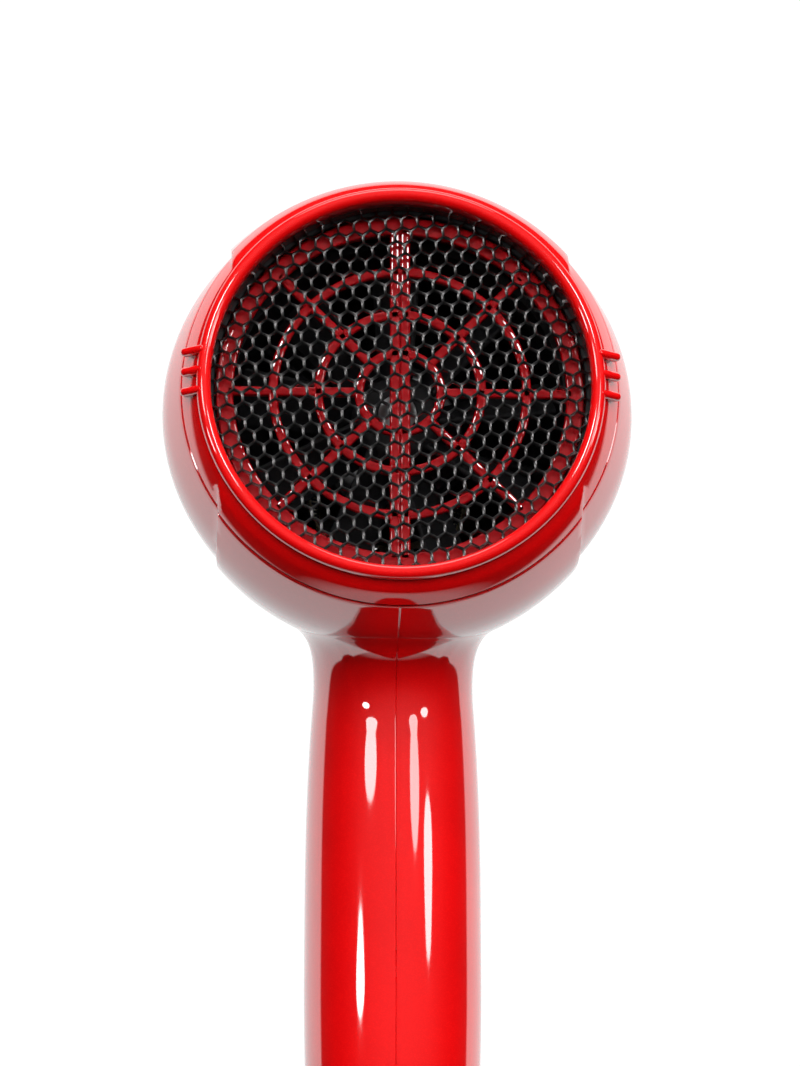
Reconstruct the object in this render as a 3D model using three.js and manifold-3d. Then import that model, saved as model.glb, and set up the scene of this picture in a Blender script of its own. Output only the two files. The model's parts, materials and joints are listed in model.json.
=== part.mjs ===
// A pistol-grip blow dryer for drying bodywork and trim: two moulded half shells with a handle,
// a pull-off intake cap, fan and motor, wire heater, turning nozzle, switches and a hanging loop.
// Millimetres, +Z up, air flows along +Y. The origin is the middle of the grip, where a hand closes.

import * as THREE from "three";
import { mergeVertices } from "three/addons/utils/BufferGeometryUtils.js";
import Module from "manifold-3d";

const wasm = await Module();
wasm.setup();

// Driving dimensions. Depths (y) run forward from the rear rim of the cap, heights from the barrel's axis.

const gap = 0.3; // between pieces that seat on each other
const loose = 0.5; // around pieces that move in a window
const wall = 2.4; // shell wall

const grip = { behindRim: 55, belowAxis: 112 }; // the origin's place under the barrel

const cap = {
  rimRadius: 44, // outside of the rolled rim
  rimRoll: 1.55, // radius of the roll
  seamRadius: 47.2, // where the cap meets the shells
  seamDepth: 8.2,
  spigotLength: 5.4,
  spigotWall: 1.6,
  meshDepth: 7.4, // front face of the mesh disc behind the rim
  bandRise: 0.8,
};
const ribs = { count: 3, pitch: 4.5, height: 2.2, radius: 0.68 }; // grip ribs on each side of the cap

const mesh = { sheet: 0.6, pitch: 3.5, web: 0.47, step: 3, tilt: 6.2 }; // step: one modelled cell per step cells
const retainer = { height: 2, width: 2.3 };
const collarGap = 0.45; // between retainer and guard

const body = {
  seamStep: 0.1, // the shells' radius over the cap's at the seam
  rear: [[48.2, 14], [49, 20], [49.3, 27], [48.9, 33], [47.9, 40], [45.9, 49]], // radius, depth
  front: [[0.19, 59], [0.44, 73], [0.665, 89], [0.844, 107], [0.96, 125], [1, 138]], // share of the way in
  spigotStep: 2.4, // the front end's radius over the spigot's
  lobeRise: 2.5, // the side lobes stand out by this at their fullest
  lobeDepth: 27,
  lobeFade: 60,
  bandRise: 2.6, // the raised band over the top and under the bottom
  bandTop: 36.4, // its half widths
  bandBottom: 38.8,
};
const spigot = { radius: 21.5, wall: 2.3, length: 16 }; // outlet spigot that carries trim ring and nozzle
const trim = { wall: 2.2, length: 5.6 };

const guard = {
  depth: 9.1,
  bar: 2,
  height: 2,
  centreBar: 4.7,
  rings: [8.9, 17.7, 27.5],
  lip: 36.1,
  collarWall: 1.7,
  webDepth: 14.5,
};

const handle = {
  outline: [[26, -34], [22, -40], [18.9, -45], [17.3, -50], [18.6, -69], [19.3, -88], [19.5, -112],
    [19.4, -132], [18.6, -152], [16.8, -166], [14.4, -173], [12.8, -175]], // half width, height
  depthRatio: 1.12,
};

const duct = { radius: 38.3, wall: 1.6, rear: 20, cone: 60, neck: 86, end: 93, neckGap: 0.5, vanes: 7 };
const ductRibs = [26, 52]; // depths of the shell ribs that hold the duct
const seal = { radius: 40.2, length: 6 };

const motor = { radius: 15.5, wall: 1.3, rear: 44, front: 76, capLength: 3.8, cupWall: 1.6 };
const shaft = { radius: 1.6, rear: 24, front: 81 };
const bearing = { radius: 4, length: 3.4 };
const armature = { airGap: 0.7, rear: 50, length: 19, slots: 5 };
const commutator = { radius: 3.6, rear: 71, length: 4.6 };
const magnet = { sheet: 1.6, rear: 49, length: 21, arc: 140 };
const brush = { width: 3.6, length: 3, reach: 6 };
const board = { inset: 2, depth: 82, sheet: 1.6 };
const fan = { hub: 10, bladeTip: 35.4, rear: 26, length: 13, blades: 9, pitchAngle: 38, blade: 1.3 };
const clip = { radius: 4.2, depth: 24.8, sheet: 0.6 };

const heater = {
  tubeGap: 0.4, // in the spigot's bore
  tubeWall: 0.6,
  rear: 88,
  front: 146,
  plate: 0.8,
  plateRear: 95,
  plateFront: 138,
  wire: 0.6,
  turns: 5,
};
const thermostat = { width: 6, height: 9, length: 11, depth: 97 };
const fuse = { radius: 2, length: 12, depth: 98 };
const grille = { depth: 149, height: 2.4, bar: 1.3, rings: [9.5], rim: 1.8, spokes: 6 };

const nozzle = {
  start: 144.3,
  wall: 2.1,
  collar: 12,
  front: 192,
  mouthLength: 58,
  mouthWidth: 9.6,
  lip: 1.8,
};

const rocker = { width: 9.8, radius: 10.5, proud: 1, under: 2, trunnion: 1.2, trunnionLength: 2.2 };
const rockerHeights = { speed: -74, heat: -100 };
const rockerPivot = 68.5;
const switchBody = { width: 15, length: 8.3, ear: 2, earGap: 0.4, drop: 4.2 };
const carrier = { width: 24, sheet: 1.8, top: -47.5, bottom: -114 };
const button = {
  height: -55,
  radius: 4.4,
  flange: 5.5,
  flangeSheet: 1.3,
  flangeDepth: 69.2,
  proud: 1.6,
  plunger: 1.2,
  plungerEnd: 64.8,
};
const spring = { radius: 2.5, wire: 0.35, turns: 3, rear: 62.4, front: 68.8 };

const screw = { head: 2.6, headHeight: 1.9, shank: 1.35, length: 18, boss: 3.7, seat: 10 };
const screwPlaces = { upper: [60, -43.4], middle: [60, -118.2], lower: [60, -158] }; // depth, height

const gland = { depth: 60.5, neck: 5.6, bore: 3.4, flange: 7, flangeSheet: 2, tail: 2.7 };
const loop = {
  depth: 45,
  pivotDrop: 4.2, // below the handle's end
  pin: 1.1,
  ear: 2.7,
  earWidth: 2.4,
  lugWidth: 5.2,
  width: 20,
  length: 18,
  sheet: 2.6,
  rod: 3,
};

const roundSegments = 36;
const smallSegments = 14;
const innerSegments = 20; // pieces hidden inside

// Colours and finishes.

const finishes = {
  red: [0xb3000a, 0.22, 0.55],
  black: [0x0b0b0c, 0.45, 0],
  darkMesh: [0x17181a, 0.35, 0.85],
  steel: [0xb9bcc0, 0.3, 1],
  copper: [0xb4683a, 0.35, 1],
  ferrite: [0x2a2a2c, 0.6, 0.3],
  mica: [0xd9cfb4, 0.6, 0],
  nichrome: [0x6f6a66, 0.5, 0.9],
  board: [0x23502c, 0.6, 0],
  rubber: [0x101011, 0.85, 0],
  white: [0xe8e6e0, 0.5, 0],
  carbon: [0x222222, 0.8, 0.2],
};

const dryer = new THREE.Group();
dryer.position.set(0, -grip.behindRim, grip.belowAxis);

// Solids from three.js geometry, and joins and cuts between them.

function solid(geometry) {
  const bare = geometry.index ? geometry.toNonIndexed() : geometry.clone();
  bare.deleteAttribute("normal");
  bare.deleteAttribute("uv");
  const merged = mergeVertices(bare, 1e-4);
  const corners = merged.index.array;
  const kept = [];
  for (let i = 0; i < corners.length; i += 3) {
    const [a, b, c] = [corners[i], corners[i + 1], corners[i + 2]];
    if (a !== b && b !== c && c !== a) kept.push(a, b, c);
  }
  const vertProperties = new Float32Array(merged.attributes.position.array);
  const make = (list) =>
    new wasm.Manifold(new wasm.Mesh({ numProp: 3, vertProperties, triVerts: new Uint32Array(list) }));
  const made = make(kept);
  return made.volume() < 0 ? make(kept.toReversed()) : made;
}

const join = (first, ...rest) => rest.reduce((sum, next) => sum.add(next), first);
const cut = (first, ...rest) => rest.reduce((left, next) => left.subtract(next), first);

function addNode(name, shape, [color, roughness, metalness]) {
  const { vertProperties, triVerts, numProp } = shape.getMesh();
  const positions = new Float32Array((vertProperties.length / numProp) * 3);
  for (let i = 0; i < positions.length / 3; i += 1) {
    positions.set(vertProperties.subarray(i * numProp, i * numProp + 3), i * 3);
  }
  const geometry = new THREE.BufferGeometry();
  geometry.setAttribute("position", new THREE.BufferAttribute(positions, 3));
  geometry.setIndex(new THREE.BufferAttribute(new Uint32Array(triVerts), 1));
  geometry.computeVertexNormals();
  const material = new THREE.MeshStandardMaterial({ color, roughness, metalness });
  const made = new THREE.Mesh(geometry, material);
  made.name = name;
  dryer.add(made);
}

// Simple forms.

function block([x0, x1], [y0, y1], [z0, z1]) {
  const geometry = new THREE.BoxGeometry(x1 - x0, y1 - y0, z1 - z0);
  geometry.translate((x0 + x1) / 2, (y0 + y1) / 2, (z0 + z1) / 2);
  return solid(geometry);
}

function turned(outline, segments = roundSegments) {
  const points = outline.map(([r, y]) => new THREE.Vector2(r, y));
  if (outline[0][0] > 0) points.push(points[0].clone());
  return solid(new THREE.LatheGeometry(points, segments));
}

const ring = (outer, inner, y0, y1, segments = roundSegments) =>
  turned([[inner, y0], [outer, y0], [outer, y1], [inner, y1]], segments);

const disc = (radius, y0, y1, segments = roundSegments) =>
  turned([[0, y0], [radius, y0], [radius, y1], [0, y1]], segments);

function rod(axis, radius, from, to, [u, v], segments = smallSegments) {
  const geometry = new THREE.CylinderGeometry(radius, radius, to - from, segments);
  const middle = (from + to) / 2;
  if (axis === "x") geometry.rotateZ(Math.PI / 2).translate(middle, u, v);
  if (axis === "y") geometry.translate(u, middle, v);
  if (axis === "z") geometry.rotateX(Math.PI / 2).translate(u, v, middle);
  return solid(geometry);
}

// A form with flat ends whose radius at each station and angle comes from a function.
// The angle is 0 at +Z and 90 degrees at +X.
function formedGeometry(stations, radiusAt, segments = roundSegments) {
  const points = stations.map((y) => new THREE.Vector2(1, y));
  points.unshift(new THREE.Vector2(0, stations[0]));
  points.push(new THREE.Vector2(0, stations.at(-1)));
  const geometry = new THREE.LatheGeometry(points, segments);
  const place = geometry.attributes.position;
  for (let i = 0; i < place.count; i += 1) {
    const [x, y, z] = [place.getX(i), place.getY(i), place.getZ(i)];
    const radius = Math.hypot(x, z) * radiusAt(y, Math.atan2(x, z));
    const angle = Math.atan2(x, z);
    place.setXYZ(i, radius * Math.sin(angle), y, radius * Math.cos(angle));
  }
  return geometry;
}

const formed = (...settings) => solid(formedGeometry(...settings));

function helix(radius, wire, turns, from, to, height = 0, stepsPerTurn = 16) {
  class Helix extends THREE.Curve {
    getPoint(t) {
      const angle = t * turns * 2 * Math.PI;
      const place = new THREE.Vector3(radius * Math.sin(angle), from + t * (to - from), height);
      place.z += radius * Math.cos(angle);
      return place;
    }
  }
  const section = new THREE.Shape(new THREE.EllipseCurve(0, 0, wire, wire).getPoints(5).slice(0, 5));
  const steps = turns * stepsPerTurn;
  return solid(new THREE.ExtrudeGeometry(section, { steps, extrudePath: new Helix() }));
}

const range = (count) => Array.from({ length: count }, (_, i) => i);
const clamp01 = (t) => Math.min(1, Math.max(0, t));

function around(count, make, offset = 0) {
  return join(...range(count).map((i) => make(((i + offset) / count) * 2 * Math.PI)));
}

// A radial bar from one radius to another, its angle counted from +Z towards +X.
function spoke(angle, inner, outer, width, y0, y1) {
  const geometry = new THREE.BoxGeometry(width, y1 - y0, outer - inner);
  geometry.translate(0, (y0 + y1) / 2, (inner + outer) / 2).rotateY(angle);
  return solid(geometry);
}

// Smooth value between stations [value, place], straight beyond the ends.
function along(stations, at) {
  const last = stations.length - 1;
  const next = stations.findIndex(([, place]) => place > at);
  const i = next === 0 ? 0 : next < 0 ? last - 1 : next - 1;
  const slope = (a, b) => (stations[b][0] - stations[a][0]) / (stations[b][1] - stations[a][1]);
  const slopeAt = (k) => (k === 0 ? slope(0, 1) : k === last ? slope(last - 1, last) : slope(k - 1, k + 1));
  const span = stations[i + 1][1] - stations[i][1];
  const t = (at - stations[i][1]) / span;
  if (t < 0) return stations[0][0] + slopeAt(0) * (at - stations[0][1]);
  if (t > 1) return stations[last][0] + slopeAt(last) * (at - stations[last][1]);
  return stations[i][0] * (1 + 2 * t) * (1 - t) ** 2 + stations[i + 1][0] * t * t * (3 - 2 * t)
    + slopeAt(i) * span * t * (1 - t) ** 2 - slopeAt(i + 1) * span * t * t * (1 - t);
}

// Outer form of the body.

const seamRadius = cap.seamRadius + body.seamStep;
const outletRadius = spigot.radius + body.spigotStep;
const fullEnd = body.rear.at(-1)[0];
const bodyStations = [
  [seamRadius, cap.seamDepth],
  ...body.rear,
  ...body.front.map(([share, y]) => [THREE.MathUtils.lerp(fullEnd, outletRadius, share), y]),
];
const bodyFront = bodyStations.at(-1)[1];
const seamRear = cap.seamDepth + gap / 2;
const bodyDepths = [seamRear, ...bodyStations.slice(1).map(([, y]) => y)];

function swell(y) {
  const rise = Math.sin((Math.PI / 2) * clamp01((y - cap.seamDepth) / (body.lobeDepth - cap.seamDepth)));
  const fall = Math.cos((Math.PI / 2) * clamp01((y - body.lobeDepth) / body.lobeFade));
  return rise * fall * fall;
}

const plainRadius = (y) => along(bodyStations, y);
const spigotRadius = seamRadius - wall - gap - 0.05;
const pocketRadius = spigotRadius - cap.spigotWall;
const collarRadius = pocketRadius - gap - retainer.width - collarGap;
const lobeRadius = (y, angle) => plainRadius(y) + body.lobeRise * swell(y) * Math.sin(angle) ** 2;
const bandRadius = (y) => {
  const atSeam = cap.bandRise * clamp01(1 - (y - cap.seamDepth) / (body.lobeDepth - cap.seamDepth));
  return plainRadius(y) + atSeam + body.bandRise * swell(y);
};

// The part of a solid inside the raised band's width, above and below the axis.
function insideBand(shape, y0, y1) {
  const high = block([-body.bandTop, body.bandTop], [y0, y1], [0, 80]);
  const low = block([-body.bandBottom, body.bandBottom], [y0, y1], [-80, 0]);
  return shape.intersect(join(high, low));
}

const handleWidths = handle.outline.toReversed();
const handleHalfDepth = (z) => along(handleWidths, z) * handle.depthRatio;

// The handle's outside or, with an inset, its inside, between two heights.
function handleForm(inset, top, bottom) {
  const heights = handle.outline.map(([, z]) => z).filter((z) => z < top && z > bottom);
  const stations = [bottom, ...heights.toReversed(), top];
  const geometry = formedGeometry(stations, (z) => along(handleWidths, z) - inset, 24);
  const deep = (z) => (handleHalfDepth(z) - inset) / (along(handleWidths, z) - inset);
  geometry.rotateX(Math.PI / 2);
  const place = geometry.attributes.position;
  for (let i = 0; i < place.count; i += 1) {
    place.setY(i, grip.behindRim + place.getY(i) * deep(place.getZ(i)));
  }
  return solid(geometry);
}

const handleEnd = handle.outline.at(-1)[1];

// Shells.

function guardForm() {
  const { depth, bar, height, rings, lip, collarWall, webDepth } = guard;
  const collar = collarRadius;
  const back = depth + height;
  const hoops = rings.map((radius) => ring(radius + bar / 2, radius - bar / 2, depth, back, 28));
  const spokes = around(8, (angle) => spoke(angle, rings[0], lip + 1, bar, depth, back));
  const centre = block([-guard.centreBar / 2, guard.centreBar / 2], [depth, back], [-lip - 1, lip + 1]);
  const rim = turned([
    [lip, depth], [collar, depth], [collar, webDepth], [seamRadius, webDepth],
    [seamRadius, webDepth + height], [collar - collarWall, webDepth + height],
    [collar - collarWall, back], [lip, back],
  ]);
  return join(rim, ...hoops, spokes, centre);
}

function screwHoles() {
  const across = 60;
  return Object.values(screwPlaces).map(([y, z]) => {
    const seat = rod("x", screw.head + gap + 0.1, -across, -screw.seat, [y, z]);
    const bore = rod("x", screw.shank + gap, -screw.seat - 1, screw.length - screw.seat + 1, [y, z]);
    return seat.add(bore);
  });
}

function bosses(outside) {
  const reach = 40;
  const posts = Object.values(screwPlaces).map(([y, z]) => rod("x", screw.boss, -reach, reach, [y, z]));
  return join(...posts).intersect(outside);
}

function frontWindows() {
  const reach = 40;
  const half = rocker.radius + loose * 0.7;
  const windows = Object.values(rockerHeights).map((z) =>
    block(
      [-rocker.width / 2 - loose, rocker.width / 2 + loose],
      [rockerPivot, rockerPivot + reach],
      [z - half, z + half],
    ),
  );
  windows.push(rod("y", button.radius + loose, rockerPivot, rockerPivot + reach, [0, button.height]));
  return windows;
}

function loopLug() {
  const { depth, pivotDrop, ear, lugWidth } = loop;
  const z = handleEnd - pivotDrop;
  const eye = rod("x", ear, -lugWidth / 2, lugWidth / 2, [depth, z]);
  const neck = block([-lugWidth / 2, lugWidth / 2], [depth - ear, depth + ear], [z, handleEnd + wall / 2]);
  return eye.add(neck);
}

function housing() {
  const bodyOut = formed(bodyDepths, lobeRadius);
  const band = insideBand(formed(bodyDepths, bandRadius), seamRear, body.lobeDepth + body.lobeFade);
  const handleOut = handleForm(0, handle.outline[0][1], handleEnd);
  const nose = disc(spigot.radius, bodyFront - 1, bodyFront + spigot.length);
  const outside = join(bodyOut, band, handleOut, nose);

  const innerDepths = [seamRear - 1, ...bodyDepths.slice(1, -1), bodyFront - wall];
  const bodyIn = formed(innerDepths, (y, angle) => lobeRadius(y, angle) - wall);
  const handleIn = handleForm(wall, handle.outline[0][1] + 4, handleEnd + wall);
  const noseIn = disc(spigot.radius - spigot.wall, bodyFront - wall - 1, bodyFront + spigot.length + 1);
  const inside = join(bodyIn, handleIn, noseIn);

  const ductRib = (y, bore) => ring(plainRadius(y) - wall / 2, bore, y - 1, y + 1);
  const fittings = join(
    guardForm(),
    ductRib(ductRibs[0], seal.radius + gap),
    ductRib(ductRibs[1], duct.radius + gap),
    bosses(outside),
  );
  const cordHole = rod("z", gland.neck + gap, handleEnd - 1, handleEnd + wall + 1, [0, gland.depth]);
  const pinHole = rod("x", loop.pin + gap, -10, 10, [loop.depth, handleEnd - loop.pivotDrop]);
  const whole = join(cut(outside, inside), fittings, loopLug());
  return cut(whole, ...frontWindows(), ...screwHoles(), cordHole, pinHole);
}

const shells = housing();
const leftSide = block([-100, -gap / 2], [-10, 250], [-250, 100]);
const rightSide = block([gap / 2, 100], [-10, 250], [-250, 100]);
addNode("shell_left", shells.intersect(leftSide), finishes.red);
addNode("shell_right", shells.intersect(rightSide), finishes.red);
addNode(
  "outlet_trim_ring",
  ring(spigot.radius + gap + trim.wall, spigot.radius + gap, bodyFront + gap, bodyFront + gap + trim.length),
  finishes.black,
);

// Intake cap with its rolled rim, skirt, spigot and grip ribs.

const capBore = cap.rimRadius - 2 * cap.rimRoll;
const seatDepth = cap.meshDepth - gap;
const capBack = cap.seamDepth - gap / 2;

function skirt(rise, start) {
  return [[cap.rimRadius - 0.3 + rise, start], [cap.rimRadius + 0.5 + rise, start + 0.4],
    [cap.rimRadius + 1.5 + rise, start + 1.9], [cap.seamRadius + rise, capBack]];
}

function capForm() {
  const rollCentre = cap.rimRadius - cap.rimRoll;
  const roll = new THREE.EllipseCurve(rollCentre, cap.rimRoll, cap.rimRoll, cap.rimRoll, Math.PI, 2 * Math.PI);
  const rim = roll.getPoints(6).map((point) => [point.x, point.y]);
  const shell = turned([
    ...rim, ...skirt(0, 2.6), [spigotRadius, capBack], [spigotRadius, capBack + cap.spigotLength],
    [pocketRadius, capBack + cap.spigotLength], [pocketRadius, seatDepth], [capBore, seatDepth],
  ]);
  const raised = turned([
    ...skirt(cap.bandRise, 3.4), [spigotRadius + 1, capBack], [cap.rimRadius - 1, 3.4],
  ]);
  return shell.add(insideBand(raised, 0, capBack));
}

// One rib lies along the skirt from the rim to just before the seam.
function capRib(side, z) {
  const from = new THREE.Vector2(cap.rimRadius - cap.rimRoll, cap.rimRoll * 0.5);
  const to = new THREE.Vector2(cap.seamRadius - 0.55, capBack - 1.9);
  const lift = ribs.radius * 0.35;
  const run = to.clone().sub(from);
  const geometry = new THREE.CapsuleGeometry(ribs.radius, run.length(), 2, 6);
  geometry.rotateZ(-side * Math.atan2(run.x, run.y));
  geometry.translate(side * ((from.x + to.x) / 2 + lift), (from.y + to.y) / 2 - lift, z);
  return solid(geometry);
}

const ribHeights = range(ribs.count).map((i) => ribs.height + (i - (ribs.count - 1) / 2) * ribs.pitch);
const capRibs = [-1, 1].flatMap((side) => ribHeights.map((z) => capRib(side, z)));
addNode("intake_cap", join(capForm(), ...capRibs), finishes.red);

// Honeycomb sheet, one modelled cell for each group of small cells.
function meshForm() {
  const radius = pocketRadius - gap;
  const pitch = mesh.pitch * mesh.step;
  const hole = (mesh.pitch - mesh.web) * mesh.step;
  const sheet = new THREE.Shape();
  sheet.absarc(0, 0, radius, 0, 2 * Math.PI);
  const tilt = THREE.MathUtils.degToRad(mesh.tilt);
  const rows = Math.ceil(radius / pitch) + 1;
  for (const row of range(2 * rows + 1)) {
    for (const column of range(2 * rows + 1)) {
      const v = (row - rows) * pitch * Math.sin(Math.PI / 3);
      const u = (column - rows + ((row - rows) % 2 ? 0.5 : 0)) * pitch;
      if (Math.hypot(u, v) > capBore - hole / 2) continue;
      const centre = new THREE.Vector2(u, v).rotateAround(new THREE.Vector2(), tilt);
      const corner = (k) =>
        new THREE.Vector2(0, hole / Math.sqrt(3)).rotateAround(new THREE.Vector2(), (k * Math.PI) / 3 + tilt);
      sheet.holes.push(new THREE.Path(range(6).map((k) => corner(k).add(centre))));
    }
  }
  const geometry = new THREE.ExtrudeGeometry(sheet, { depth: mesh.sheet, bevelEnabled: false, curveSegments: 24 });
  geometry.rotateX(Math.PI / 2).translate(0, cap.meshDepth + mesh.sheet, 0);
  return solid(geometry);
}

const retainerRear = cap.meshDepth + mesh.sheet + gap;
addNode("intake_mesh", meshForm(), finishes.darkMesh);
addNode(
  "mesh_retainer",
  ring(pocketRadius - gap, pocketRadius - gap - retainer.width, retainerRear, retainerRear + retainer.height),
  finishes.black,
);

// Fan duct with guide vanes and motor cup, and its rubber ring.

const tubeRadius = spigot.radius - spigot.wall - heater.tubeGap;
const neckRadius = tubeRadius + duct.neckGap + duct.wall;
const cupBore = motor.radius + gap + 0.1;
const cupRadius = cupBore + motor.cupWall;

function ductForm() {
  const { radius, wall: skin, rear, cone, neck, end, vanes } = duct;
  const outside = [[radius, rear], [radius, cone], [neckRadius, neck], [neckRadius, end]];
  const inside = outside.toReversed().map(([r, y]) => [r - skin, y]);
  const shell = turned([...outside, ...inside]);
  const cup = ring(cupRadius, cupBore, motor.rear + 1, motor.front - 4);
  const blades = around(vanes, (angle) =>
    spoke(angle, cupRadius - 0.6, radius - skin / 2, 1.6, motor.rear + 3, cone - 1),
  );
  return join(shell, cup, blades);
}

addNode("fan_duct", ductForm(), finishes.black);
addNode(
  "duct_seal",
  ring(seal.radius, duct.radius + gap, ductRibs[0] - seal.length / 2, ductRibs[0] + seal.length / 2, 28),
  finishes.rubber,
);

// Motor.

const shaftHole = shaft.radius + gap;
const magnetOuter = motor.radius - motor.wall - gap;
const magnetInner = magnetOuter - magnet.sheet;
const armatureRadius = magnetInner - armature.airGap;
const boardRadius = motor.radius - board.inset;
const motorCapFront = motor.front + gap + motor.capLength;

addNode(
  "motor_can",
  turned([
    [bearing.radius + gap, motor.rear], [motor.radius, motor.rear], [motor.radius, motor.front],
    [motor.radius - motor.wall, motor.front], [motor.radius - motor.wall, motor.rear + motor.wall],
    [bearing.radius + gap, motor.rear + motor.wall],
  ], innerSegments),
  finishes.steel,
);
addNode(
  "motor_end_cap",
  ring(motor.radius, bearing.radius + gap, motor.front + gap, motorCapFront, innerSegments),
  finishes.black,
);
addNode(
  "bearing_rear",
  ring(bearing.radius, shaftHole, motor.rear - 0.6, motor.rear - 0.6 + bearing.length, smallSegments),
  finishes.steel,
);
addNode(
  "bearing_front",
  ring(bearing.radius, shaftHole, motorCapFront - bearing.length, motorCapFront, smallSegments),
  finishes.steel,
);

function magnetForm(side) {
  const half = THREE.MathUtils.degToRad(magnet.arc / 2);
  const arc = new THREE.Shape();
  arc.absarc(0, 0, magnetOuter, -half, half);
  arc.absarc(0, 0, magnetInner, half, -half, true);
  const geometry = new THREE.ExtrudeGeometry(arc, { depth: magnet.length, bevelEnabled: false, curveSegments: 10 });
  geometry.rotateX(Math.PI / 2).rotateY(side < 0 ? Math.PI : 0);
  geometry.translate(0, magnet.rear + magnet.length, 0);
  return solid(geometry);
}

addNode("magnet_left", magnetForm(-1), finishes.ferrite);
addNode("magnet_right", magnetForm(1), finishes.ferrite);

const brushStart = commutator.radius + gap;
const brushRear = commutator.rear + 0.8;
for (const [name, side] of [["brush_left", -1], ["brush_right", 1]]) {
  const ends = [side * brushStart, side * (brushStart + brush.reach)].sort((a, b) => a - b);
  addNode(
    name,
    block(ends, [brushRear, brushRear + brush.length], [-brush.width / 2, brush.width / 2]),
    finishes.carbon,
  );
}

function boardForm() {
  const sheet = ring(boardRadius, shaft.radius + 1.5, board.depth, board.depth + board.sheet, innerSegments);
  const front = board.depth + board.sheet;
  const diodes = around(4, (angle) => spoke(angle, 6, 11, 2.6, front - 0.2, front + 2.2), 0.5);
  return sheet.add(diodes);
}

addNode("rectifier_board", boardForm(), finishes.board);

// Turning parts: shaft, armature, commutator, fan and its clip.

addNode("motor_shaft", rod("y", shaft.radius, shaft.rear, shaft.front, [0, 0], 16), finishes.steel);

function armatureForm() {
  const front = armature.rear + armature.length;
  const core = ring(armatureRadius, shaftHole, armature.rear, front, innerSegments);
  const slots = around(armature.slots, (angle) =>
    spoke(angle, 6.5, armatureRadius + 1, 2.2, armature.rear - 1, front + 1),
  );
  return core.subtract(slots);
}

addNode("armature", armatureForm(), finishes.copper);
addNode(
  "commutator",
  ring(commutator.radius, shaftHole, commutator.rear, commutator.rear + commutator.length, smallSegments),
  finishes.copper,
);

function fanBlade(angle) {
  const geometry = new THREE.BoxGeometry(fan.blade, fan.length * 1.12, fan.bladeTip - fan.hub + 1.2, 1, 1, 2);
  geometry.translate(0, 0, (fan.bladeTip + fan.hub - 1.2) / 2);
  const place = geometry.attributes.position;
  const pitch = THREE.MathUtils.degToRad(fan.pitchAngle);
  for (let i = 0; i < place.count; i += 1) {
    const twist = pitch * (0.7 + (0.5 * (place.getZ(i) - fan.hub)) / (fan.bladeTip - fan.hub));
    const [x, y] = [place.getX(i), place.getY(i)];
    place.setX(i, x * Math.cos(twist) - y * Math.sin(twist));
    place.setY(i, x * Math.sin(twist) + y * Math.cos(twist));
  }
  geometry.translate(0, fan.rear + fan.length / 2, 0).rotateY(angle);
  return solid(geometry);
}

function fanForm() {
  const front = fan.rear + fan.length;
  const hub = turned([
    [shaftHole, fan.rear - 0.4], [fan.hub * 0.5, fan.rear - 0.4], [fan.hub, fan.rear + 3], [fan.hub, front],
    [fan.hub - 2, front], [fan.hub - 2, fan.rear + 5], [shaft.radius + 3, fan.rear + 5],
    [shaft.radius + 3, front], [shaftHole, front],
  ], innerSegments);
  const blades = around(fan.blades, fanBlade);
  const swept = ring(fan.bladeTip, fan.hub - 0.8, fan.rear - 1, front + 1);
  return hub.add(blades.intersect(swept));
}

addNode("fan_impeller", fanForm(), finishes.black);
addNode("fan_clip", ring(clip.radius, shaftHole, clip.depth, clip.depth + clip.sheet, smallSegments), finishes.steel);

// Heater.

const coilRadius = tubeRadius - heater.tubeWall - 0.8 - heater.wire;
const plateHalf = coilRadius - heater.wire - gap;
addNode(
  "heater_tube",
  ring(tubeRadius, tubeRadius - heater.tubeWall, heater.rear, heater.front, innerSegments + 4),
  finishes.mica,
);
addNode(
  "heater_frame",
  join(
    block([-plateHalf, plateHalf], [heater.plateRear, heater.plateFront], [-heater.plate / 2, heater.plate / 2]),
    block([-heater.plate / 2, heater.plate / 2], [heater.plateRear, heater.plateFront], [-plateHalf, plateHalf]),
  ),
  finishes.mica,
);
addNode(
  "heater_coil",
  helix(coilRadius, heater.wire, heater.turns, heater.plateRear + 4, heater.plateFront - 4),
  finishes.nichrome,
);
addNode(
  "thermostat",
  block(
    [heater.plate, heater.plate + thermostat.width],
    [thermostat.depth, thermostat.depth + thermostat.length],
    [heater.plate + 1, heater.plate + 1 + thermostat.height],
  ),
  finishes.steel,
);
addNode(
  "thermal_fuse",
  rod("y", fuse.radius, fuse.depth, fuse.depth + fuse.length, [-fuse.radius - heater.plate, -6], 16),
  finishes.white,
);

function grilleForm() {
  const outer = spigot.radius - spigot.wall - gap;
  const [front, back] = [grille.depth + grille.height, grille.depth];
  const hoops = grille.rings.map((radius) => ring(radius + grille.bar / 2, radius - grille.bar / 2, back, front, 24));
  const spokes = around(grille.spokes, (angle) => spoke(angle, 0, outer - 1, grille.bar, back, front));
  return join(ring(outer, outer - grille.rim, back, front), ...hoops, spokes);
}

addNode("outlet_grille", grilleForm(), finishes.black);

// Concentrator nozzle: a round collar drawn out to a flat mouth.

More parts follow.
